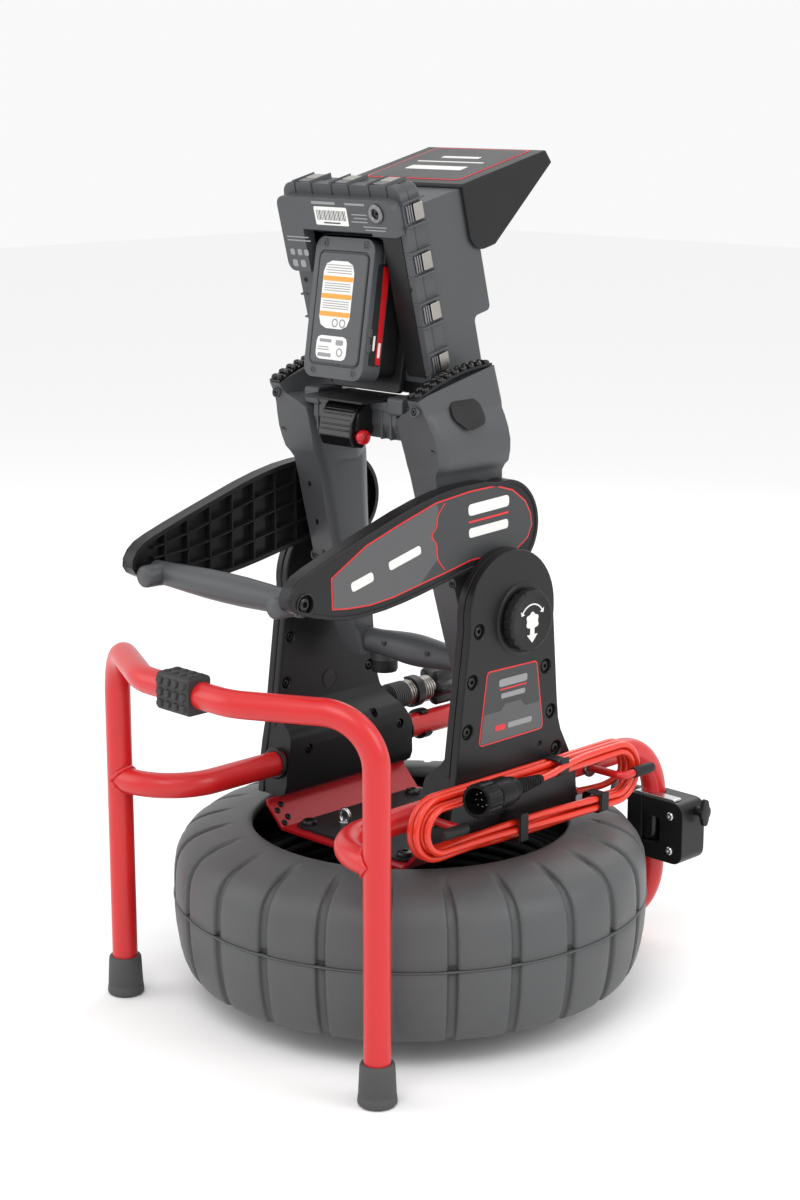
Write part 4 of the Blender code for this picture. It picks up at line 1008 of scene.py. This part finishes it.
def arm_lattice(side, outline):
    """Ribs across and along the arm's inner side, trimmed to its outline."""
    inside = shrunk(outline, 2.5)

    def span(line_y):
        heights = []
        for (y0, z0), (y1, z1) in zip(inside, inside[1:] + inside[:1]):
            if (y0 - line_y) * (y1 - line_y) < 0:
                heights.append(z0 + (z1 - z0) * (line_y - y0) / (y1 - y0))
        return min(heights), max(heights)

    parts = []
    for y in (30, 58, 86, 114, 142, 170, 198, 226):
        low, high = span(y)
        parts.append(prism([(y - 0.7, low), (y + 0.7, low), (y + 0.7, high), (y - 0.7, high)],
                           side * (ARM_IN + 0.6),
                           side * 111, "X"))
    for share in (0.25, 0.5, 0.75):
        spots = []
        for y in range(30, 242, 14):
            low, high = span(y)
            spots.append((y, low + (high - low) * share))
        band = [(y, z + 0.7) for y, z in spots] + [(y, z - 0.7) for y, z in reversed(spots)]
        parts.append(prism(band, side * (ARM_IN + 0.6), side * 111, "X"))
    return merged(parts)


# ---- monitor, hood, battery

def boxed(x0, x1, z0, z1, radius, low, high, steps=5):
    """A rounded box whose outline lies in X and Z and whose depth runs along Y."""
    return prism(oblong(x0, x1, z0, z1, radius, steps), low, high, "Y")


def printed(name, spots, face, body, look, matrix, depth=0.4):
    """Plain bars, each (x, z, width, height), on a face that looks along +Y of the matrix's frame."""
    made = [boxed(x - w / 2, x + w / 2, z - h / 2, z + h / 2, min(w, h) * 0.25, face, face + depth, 2)
            for x, z, w, h in spots]
    return piece(name, merged(made), look, body, matrix=matrix)


def battery_room():
    """What the battery's dock takes out of the monitor's case."""
    return prism(oblong(-52, 40, -20, 132.2, 4), -46.5, 46.5, "X")


def build_monitor():
    flange = piece("monitor_flange", boxed(-78.4, 78.4, 8, 196, 12, 18.5, 28.5), GREY, "monitor",
                   matrix=MONITOR, bevel=2.2, segments=4)
    cut(flange, battery_room(), BATTERY)
    rim = piece("monitor_rim", boxed(-77, 77, 9.5, 194.6, 11, 2, 17.2), GREY, "monitor",
                matrix=MONITOR, bevel=2.4, segments=4)
    cut(rim, battery_room(), BATTERY)
    gasket = piece("monitor_gasket", boxed(-75.6, 75.6, 11, 193, 10, 16, 19.5), BLACK, "monitor",
                   matrix=MONITOR)
    cut(gasket, battery_room(), BATTERY)
    rear = piece("monitor_rear_shell", boxed(-77, 77, 113, 186, 9, 20, 41), GREY, "monitor",
                 ("monitor_rear_case",), MONITOR, bevel=3.6, segments=4)
    cut(rear, battery_room(), BATTERY)
    cut(rear, prism(oblong(-95, -38, 90, 152, 9), 27.4, 60, "Y"), MONITOR)
    piece("monitor_recess", boxed(-70.5, -46.8, 14, 151, 4, 27.0, 29.3), BLACK, "monitor",
          matrix=MONITOR)
    side = [(19, -10), (-44.5, -10), (-44.5, 50), (-67.5, 50), (-67.5, 172), (19, 172)]
    front = piece("monitor_front_shell", prism(rounded(side, 5, 5), -74, 74, "X"), GREY, "monitor",
                  ("monitor_front_case",), MONITOR, bevel=2.6, segments=4)
    cut(front, battery_room(), BATTERY)
    for x in (-72, 72):
        cut(front, lay(turned([(0, -14), (6.5, -14), (6.5, 14), (0, 14)], 20), (1, 0, 0), (x, 0, 0)),
            MONITOR)
    build_monitor_clips()
    build_monitor_back()
    build_monitor_front()


def build_monitor_clips():
    """Metal clips over the case's seam, each in a pocket with two fins."""
    plates, springs, fins = [], [], []
    for side in (-1, 1):
        for z in (169, 122, 74, 25):
            plates.append(prism(oblong(4, 16, z - 8, z + 8, 1.2, 3), side * 77.6, side * 80.6, "X"))
            for k in range(3):
                y = 17.6 + 2.9 * k
                springs.append(prism(oblong(y, y + 1.9, z - 8, z + 8, 0.6, 2), side * 77.6, side * 80.2,
                                     "X"))
            for edge in (z - 11.4, z + 11.4):
                fins.append(prism(rounded([(side * 72, edge - 0.9), (side * 81.4, edge - 0.9),
                                           (side * 81.4, edge + 0.9),
                                           (side * 72, edge + 0.9)], 0.7, 3), 1.2, 29.4, "Y"))
    for x in (-50, 0, 50):
        plates.append(prism(oblong(x - 8, x + 8, 4, 16, 1.2, 3), 195.4, 197.6, "Z"))
        for k in range(3):
            y = 17.6 + 2.9 * k
            springs.append(prism(oblong(x - 8, x + 8, y, y + 1.9, 0.6, 2), 195.4, 197.4, "Z"))
        for edge in (x - 11.4, x + 11.4):
            fins.append(prism(rounded([(edge - 0.9, 186), (edge + 0.9, 186), (edge + 0.9, 198.4),
                                       (edge - 0.9, 198.4)],
                                      0.7, 3), 1.2, 29.4, "Y"))
    piece("monitor_clips", merged(plates), CLIP, "monitor", matrix=MONITOR, bevel=0.6)
    piece("monitor_clip_springs", merged(springs), DARK_STEEL, "monitor", matrix=MONITOR, bevel=0.4)
    piece("monitor_clip_fins", merged(fins), GREY, "monitor", matrix=MONITOR)
    heads = [screw((x, 28.2, z), (0, 1, 0), 2.6, 1.2) for x in (-71, 71) for z in (15, 100)]
    piece("monitor_screws", merged(heads), SCREW, "monitor", matrix=MONITOR)


def build_monitor_back():
    piece("monitor_sticker", boxed(-18, 26, 160.5, 178, 1.5, 40.8, 41.2), LABEL_WHITE, "monitor",
          matrix=MONITOR)
    stripes = [(-15 + 2.1 * k, 170, 0.7 + 0.5 * (k % 3 == 1), 9.5) for k in range(19)]
    printed("monitor_sticker_marks", stripes + [(4, 162.8, 22, 1.3)], 40.95, "monitor", LABEL_DARK, MONITOR)
    lines = [(12, 181.6, 32, 2.6), (-30, 181.6, 26, 2.0), (-34, 172, 20, 1.1), (-35, 168.6, 18, 1.1),
             (-33, 165.2, 22, 1.1), (-52, 161, 30, 1.1), (-52, 158, 26, 1.1), (56, 147, 30, 1.2),
             (55, 143.6, 32, 1.2), (67, 132, 6, 6), (57, 132, 6, 6), (48, 132, 6, 6), (66, 121, 7, 7),
             (55, 121, 7, 7)]
    printed("monitor_back_marks", lines, 40.95, "monitor", LABEL_GREY, MONITOR, 0.3)
    jack = [(4.6, 0), (9.0, 0), (9.0, 2.2), (7.8, 3.2), (5.4, 3.2), (4.6, 2.4)]
    piece("monitor_jack", lay(turned(jack, 32, ring=True), (0, 1, 0), (-57, 40.4, 174)), DARK_STEEL,
          "monitor",
          matrix=MONITOR)
    pin = merged([lay(turned([(0, 0), (4.7, 0), (4.7, 0.8), (0, 0.8)], 24), (0, 1, 0), (-57, 40.4, 174)),
                  lay(turned([(0, 0), (1.2, 0), (1.2, 2.4), (0, 2.8)], 12), (0, 1, 0), (-57, 40.8, 174))])
    piece("monitor_jack_pin", pin, GLOSS, "monitor", matrix=MONITOR)
    arch = [(-46, 106), (-46, 124), (-43, 130), (-36, 132), (36, 132), (43, 130), (46, 124), (46, 106),
            (42.4, 106),
            (42.4, 121), (40, 127), (34, 129.6), (-34, 129.6), (-40, 127), (-42.4, 121), (-42.4, 106)]
    piece("battery_dock_arch", prism(arch, -46, -8, "Y"), BLACK, "monitor", matrix=BATTERY,
          bevel=1.2)
    wall = boxed(-46, 46, -11, 131.6, 4, -51, -45.6)
    piece("battery_dock_wall", wall, BLACK, "monitor", matrix=BATTERY, bevel=1.0)


def build_monitor_front():
    glass = boxed(-62, 62, 66, 158, 3, -69.3, -66.8)
    piece("monitor_glass", glass, SCREEN, "monitor", ("display_screen",), MONITOR, bevel=0.6)
    bezel = piece("monitor_bezel", boxed(-69, 69, 58, 166, 6, -69.6, -66.5), BLACK, "monitor",
                  matrix=MONITOR, bevel=0.9)
    cut(bezel, boxed(-61.6, 61.6, 66.4, 157.6, 3, -74, -60), MONITOR)
    keys = boxed(-64, 64, -4, 44, 4, -46.3, -43.8)
    piece("monitor_key_field", keys, SOFT_BLACK, "monitor", ("keypad",), MONITOR, bevel=0.6)
    caps = [lay(turned([(0, 0), (6.4, 0), (6.2, 1.3), (4.6, 2.0), (0, 2.1)], 28), (0, -1, 0), (x, -46.1, z))
            for x in (-50, -30, -10, 30, 50) for z in (8, 32)]
    piece("monitor_keys", merged(caps), GREY, "monitor", matrix=MONITOR)
    pad = [(0, 0), (11, 0), (11, 1.4), (9.6, 2.2), (5.4, 2.2), (4.6, 1.4), (0, 1.4)]
    piece("monitor_pad", lay(turned(pad, 36), (0, -1, 0), (10, -46.1, 20)), BLACK, "monitor",
          matrix=MONITOR)
    lamps = [lay(turned([(0, 0), (1.7, 0), (1.2, 0.9), (0, 1.1)], 16), (0, -1, 0),
                 (x, -46.1, 41)) for x in (52, 58)]
    piece("monitor_lamps", merged(lamps), LABEL_ORANGE, "monitor", matrix=MONITOR)


def build_hood():
    outer = [(-52, 175.6), (-52, 172.4)] + arc((-70, 127), 18, 0, -90, 8) + [(-84, 109), (-178, 162),
            (-172, 175.6)]
    shell = piece("hood_shell", prism(outer, -78.4, 78.4, "X"), BLACK, "hood",
                  ("sunshade",), MONITOR,
                  bevel=1.6)
    cut(shell, prism([(-40, 172.4), (-40, 80), (-200, 80), (-200, 158), (-170, 172.4)], -75.2, 75.2, "X"),
        MONITOR)
    label = oblong(-63, 63, -168, -64, 4)
    piece("hood_label_border", prism(label, 175.4, 175.95, "Z"), LABEL_RED, "hood",
          matrix=MONITOR)
    piece("hood_label", prism(oblong(-60.8, 60.8, -165.8, -66.2, 3), 175.5, 176.15, "Z"), LABEL_DARK, "hood",
          matrix=MONITOR)
    marks = [prism(oblong(x - w / 2, x + w / 2, y - h / 2, y + h / 2, 1.2, 2), 175.6, 176.35, "Z")
             for x, y, w, h in ((0, -100, 74, 12), (0, -120, 88, 3), (0, -136, 50, 6))]
    piece("hood_label_marks", merged(marks), LABEL_WHITE, "hood", matrix=MONITOR)


def build_battery():
    body = piece("battery_body", boxed(-40, 40, -4, 128, 12, -23, 0, 8), GREY, "battery",
                 ("battery_pack",), BATTERY, bevel=5.0, segments=6)
    cut(body, boxed(-34.6, 33.4, 8, 115, 7, -1.5, 3, 6), BATTERY)
    piece("battery_base", boxed(-38.4, 38.4, 2, 126, 9, -44.5, -22), BLACK, "battery",
          matrix=BATTERY, bevel=2.0)
    piece("battery_face", boxed(-33, 31.8, 9.6, 113.4, 6, -2.5, 1.0, 6), GREY, "battery",
          matrix=BATTERY, bevel=1.4, segments=4)
    build_battery_prints()
    spots = [(x, z) for x in (-28, 26) for z in (2.6, 121.4)]
    wells = [lay(turned([(2.4, 0), (4.4, 0), (4.4, 0.5), (3.8, 0.9), (2.4, 0.5)], 24, ring=True), (0, 1, 0),
                 (x, -0.4, z))
             for x, z in spots]
    piece("battery_wells", merged(wells), GREY, "battery", matrix=BATTERY)
    heads = [screw((x, -0.8, z), (0, 1, 0), 3.0, 1.0) for x, z in spots]
    piece("battery_screws", merged(heads), SCREW, "battery", matrix=BATTERY)
    tabs = [boxed(side * 38.4 - 2.6, side * 38.4 + 2.6, z - 4.2, z + 4.2, 1, -7.5, -2.2, 3) for side in (-1,
            1)
            for z in (28, 42)]
    piece("battery_tabs", merged(tabs), GREY, "battery", matrix=BATTERY, bevel=0.7)


def build_battery_prints():
    printed("battery_label_low", ((3.5, 24.6, 41, 22),), 0.7, "battery", LABEL_WHITE, BATTERY, 0.5)
    printed("battery_label_top", ((3.5, 74, 41, 63),), 0.7, "battery", LABEL_WHITE, BATTERY, 0.5)
    bands = [(3.5, z, 40.4, 4.6) for z in (89, 72.6, 56)]
    printed("battery_label_bands", bands, 0.85, "battery", LABEL_ORANGE, BATTERY, 0.5)
    lines = [(3.5 - 0.8 * (k % 2), 101.6 - 2.4 * k, 35 - 1.6 * (k % 2), 0.8) for k in range(4)]
    lines += [(3.5, 84.4 - 2.2 * k, 35, 0.8) for k in range(4)]
    lines += [(3.5, 68 - 2.2 * k, 35, 0.8) for k in range(4)]
    lines += [(12, 31, 16, 3), (-7, 30, 10, 5), (14, 25, 14, 0.9), (14, 22.6, 16, 0.9), (12, 17.6, 18, 3.6)]
    printed("battery_label_lines", lines, 0.95, "battery", LABEL_GREY, BATTERY, 0.4)
    rings = [lay(turned([(2.8, 0), (4.1, 0), (4.1, 0.35), (2.8, 0.35)], 28, ring=True), (0, 1, 0),
                 (x, 1.05, z))
             for x, z in ((2, 48), (-8, 48), (-8, 21))]
    piece("battery_label_rings", merged(rings), LABEL_GREY, "battery", matrix=BATTERY)
    panels, reds, whites = [], [], []
    for side in (-1, 1):
        panels.append(prism(oblong(-21.4, -6.4, 12, 106, 2.4), side * 38.8, side * 40.35, "X"))
        reds.append(prism(rounded([(-20.8, 13.4), (-15.2, 13.4), (-13.4, 104.6), (-20.8, 104.6)], 1, 3),
                          side * 39.4,
                          side * 40.7, "X"))
        whites.append(prism(oblong(-19.4, -16.4, 20, 34, 1, 2), side * 39.6, side * 40.95, "X"))
        whites.append(prism(oblong(-12, -9.6, 26, 40, 0.8, 2), side * 39.6, side * 40.6, "X"))
    piece("battery_side_panels", merged(panels), SOFT_BLACK, "battery", matrix=BATTERY)
    piece("battery_side_stripes", merged(reds), BUTTON_RED, "battery", matrix=BATTERY)
    piece("battery_side_marks", merged(whites), LABEL_WHITE, "battery", matrix=BATTERY)


# ---- latch and button

def build_latch():
    section = [(0, 38), (0, -2), (8, -8), (20, -6), (25, 4), (23, 18), (15, 32), (6, 38)]
    body = piece("latch_body", prism(rounded(section, 3, 4), -22, 22, "X"), GLOSS, "latch",
                 ("tilt_latch",), LATCH, bevel=1.8, segments=4)
    bore = lay(turned([(0, -1), (4.6, -1), (4.6, 12), (0, 12)], 24), (1, 0, 0), (-24, 13, 4))
    cut(body, bore, LATCH)
    ribs = []
    for k in range(5):
        z = 10 + 4.6 * k
        y = 24.4 - 0.036 * (z - 6) ** 2 / 2.2
        ribs.append(prism(oblong(y - 1.6, y + 1.0, z - 0.9, z + 0.9, 0.8, 3), -19, 19, "X"))
    piece("latch_ribs", merged(ribs), GLOSS, "latch", matrix=LATCH)
    ears = [prism(rounded([(-3, 6), (-3, 30), (6, 35), (16, 26), (19, 10), (10, 2)], 3, 3), x - 1.6, x + 1.6,
                  "X")
            for x in (-23.2, 23.2)]
    ears = piece("latch_ears", merged(ears), BLACK, "latch", matrix=LATCH, bevel=0.7)
    cut(ears, lay(turned([(0, -4), (7.4, -4), (7.4, 12), (0, 12)], 24), (-1, 0, 0), (-22, 13, 4)), LATCH)
    cap = [(0, -6), (3.9, -6), (4, -5.6), (4, 3.4), (7, 3.4), (7, 7.6), (6.4, 8.8), (5.2, 9.6), (4.4, 9.8),
           (3.9, 9.4),
           (0, 9.2)]
    piece("latch_button", lay(turned(cap, 36), (-1, 0, 0), (-22, 13, 4)), BUTTON_RED, "button",
          ("release_button",), LATCH, angle=45)


# ---- camera head and its clip

def star(angle, row):
    """The guide's six fins, on the rows between its two ends."""
    return -6.0 * (0.5 - 0.5 * math.cos(6 * angle)) if 0 < row < 7 else 0


def build_camera():
    base = (122, -87.5, 261)
    boot = [(0, 0), (8, 0), (11, 0.8)]
    for k in range(8):
        y = 1.6 + 2.8 * k
        boot += [(14.4, y), (14.4, y + 1.5), (12.4, y + 1.9), (12.4, y + 2.5)]
    boot += [(12, 24.4), (0, 24.6)]
    piece("camera_boot_ribs", lay(turned(boot, 36), (0, -1, 0), base), RUBBER, "frame",
          ("camera_boot",), angle=40)
    coils = [(12.4 * math.cos(2 * math.pi * t * 10.5), 12.4 * math.sin(2 * math.pi * t * 10.5), 24 + 37 * t)
             for t in [i / 252 for i in range(253)]]
    coils = [(base[0] + x, base[1] - y, base[2] + z) for x, z, y in coils]
    piece("camera_coil", swept(coils, 1.5, 10), CLIP, "frame", ("camera_spring",), angle=60)
    piece("camera_coil_core", lay(turned([(0, 24), (10.6, 24), (10.6, 61), (0, 61)], 24), (0, -1, 0), base),
          DARK_STEEL,
          "frame")
    guide = [(0, 60.6), (16, 60.6), (20, 62.4), (21.4, 65), (21.4, 87), (20, 90), (16.4, 91.6), (0, 91.6)]
    piece("camera_star", lay(turned(guide, 72, shape=star), (0, -1, 0), base), BLACK, "frame",
          ("camera_guide",), angle=50)
    head = [(0, 91.6), (13.4, 91.6), (13.4, 93.2), (14.6, 94), (14.6, 116), (14, 118.8), (12.4, 120.4),
            (11, 120.4),
            (11, 118.8), (0, 118.8)]
    piece("camera_shell", lay(turned(head, 40), (0, -1, 0), base), STEEL, "frame",
          ("camera_head",), angle=40)
    piece("camera_lens", lay(turned([(0, 118), (5, 118), (5, 119.2), (3.4, 120), (0, 120.4)], 28),
                             (0, -1, 0), base),
          LENS, "frame")
    lamps = [lay(turned([(0, 0), (1.2, 0), (0.9, 0.5), (0, 0.6)], 12), (0, -1, 0),
                 (base[0] + 8 * math.cos(a), base[1] - 118.7, base[2] + 8 * math.sin(a)))
             for a in [math.radians(30 + 60 * i) for i in range(6)]]
    piece("camera_lamps", merged(lamps), LABEL_WHITE, "frame")
    build_camera_clip(base)


def build_camera_clip(base):
    """Two open rings back to back: one grips the rail, the other the camera."""
    rings = []
    for centre, inner, outer, start, end in (((RAIL_X, RAIL_Z), TUBE_R + 0.2, 16.4, -150, 120),
                                             ((base[0], base[2]), 14.0, 17.2, 60, 330)):
        outline = arc(centre, outer, start, end, 30) + arc(centre, inner, end, start, 30)
        rings.append(prism(outline, -131, -120, "Y"))
    piece("camera_clip_rings", merged(rings), BLACK, "frame", ("camera_clip",), bevel=0.6,
          angle=50)


# ---- hooks, clamp and gland

def build_hooks():
    for word, stem, tip in (("front", 98, 122), ("rear", -135, -181)):
        way = 1 if tip > stem else -1
        route = bent([(-121, stem, HOOK_Z), (HOOK_X, stem, HOOK_Z, 9), (HOOK_X, tip, HOOK_Z)], 8)
        piece(f"hook_{word}", swept(route, 4, 18), RED, "frame", (f"cord_hook_{word}",),
              angle=50)
        foot = [(0, 0), (9.6, 0), (9.6, 1.8), (8.8, 2.6), (4.2, 2.6), (0, 2.6)]
        piece(f"hook_washer_{word}", lay(turned(foot, 30), (-1, 0, 0), (-122, stem, HOOK_Z)), DARK_STEEL,
              "frame")
        start = tip - way * 29
        grip = turned([(0, 0), (5.2, 0), (5.5, 0.8), (5.4, 26), (5.0, 29.4), (3.6, 31), (0, 31.2)], 30)
        piece(f"hook_cap_{word}", lay(grip, (0, way, 0), (HOOK_X, start, HOOK_Z)), SOFT_BLACK, "frame",
              (f"cord_hook_cap_{word}",), angle=45)


def build_clamp():
    base = (-RAIL_X, REAR_Y)
    outer = [(-0.4, 171), (-54, 171), (-54, 104), (-0.4, 104), (-0.4, 122), (-24, 122), (-24, 151),
             (-0.4, 151)]
    inner = [(0.4, 171), (20, 171), (20, 104), (0.4, 104)]
    for word, corners, radii in (("outer", outer, [1, 12, 12, 1, 3, 5, 5, 3]),
                                 ("inner", inner, [1, 6, 6, 1])):
        outline = rounded([(base[0] + x, z) for x, z in corners], radii, 4)
        half = piece(f"clamp_{word}", prism(outline, base[1] - 19, base[1] + 19, "Y"), BLACK, "frame",
                     (f"guide_clamp_{word}",), bevel=2.6, segments=4)
        cut(half, lay(turned([(0, 70), (13.2, 70), (13.2, 190), (0, 190)], 40), (0, 0, 1),
                      (base[0], base[1], 0)))
    sleeve = [(13.0, 122.4), (16.4, 122.4), (16.8, 123.4), (16.8, 149.6), (16.4, 150.6), (13.0, 150.6)]
    piece("clamp_sleeve", lay(turned(sleeve, 36, ring=True), (0, 0, 1), (base[0], base[1], 0)), GLOSS,
          "frame")
    bolts = [lay(turned([(0, 0), (4.4, 0), (4.4, 1.6), (3.4, 2.6), (1.6, 2.6), (1.6, 1.2), (0, 1.2)], 24),
                 (0, 1, 0),
                 (base[0] - 38, base[1] + 18.6, z)) for z in (118, 156)]
    piece("clamp_bolts", merged(bolts), STEEL, "frame")
    strap = prism(rounded([(base[0] - 44, 170.6), (base[0] + 12, 170.6), (base[0] + 12, 173.6),
                           (base[0] - 40, 173.6)], 1.2, 2),
                  base[1] + 5, base[1] + 17, "Y")
    piece("clamp_strap", strap, STEEL, "frame", bevel=0.5)
    pipe = [(6.2, 0), (8.6, 0), (9.2, 1), (9.2, 40), (8.8, 41.4), (8, 42), (6.2, 42)]
    place = (-92.3, REAR_Y - 8, 160)
    piece("guide_pipe", lay(turned(pipe, 36, ring=True), (1, 0, 0), place), GREY, "frame",
          angle=45)
    wings = ripple(6.5, 2, (3, 4), 2)
    knob = [(0, 0), (5, 0), (5, 6), (8, 7), (8, 11.4), (6.6, 12), (0, 12)]
    piece("clamp_knob", lay(turned(knob, 48, shape=wings), (-1, 0, 0), (-163.6, -261.8, 160)), BLACK,
          "wing_knob",
          ("guide_wing_knob",), angle=50)


def build_gland():
    nut = ripple(0.5, 6, (1, 2))
    sleeve = [(0, 0), (7.2, 0), (7.2, 4), (6, 5.4)]
    for k in range(4):
        sleeve += [(6 - 0.35 * k, 6 + 3 * k), (5.9 - 0.35 * k, 7.8 + 3 * k), (5.0 - 0.35 * k, 8.2 + 3 * k)]
    sleeve += [(4.3, 18), (0, 18)]
    piece("lead_gland", lay(turned(sleeve, 36, shape=nut), (0, -1, 0), (-118, -98.4, 203)), BLACK, "frame",
          ("cable_gland",), angle=45)


# ---- all of it

build_stage()
build_cable()
# build_cable() has made the connector already. This second call doubles its three pieces: a known fault.
build_connector()
build_ties()
build_frame()
build_cradle()
build_drum()
build_plates()
build_stand()
build_arms()
build_monitor()
build_hood()
build_battery()
build_latch()
build_camera()
build_hooks()
build_clamp()
build_gland()
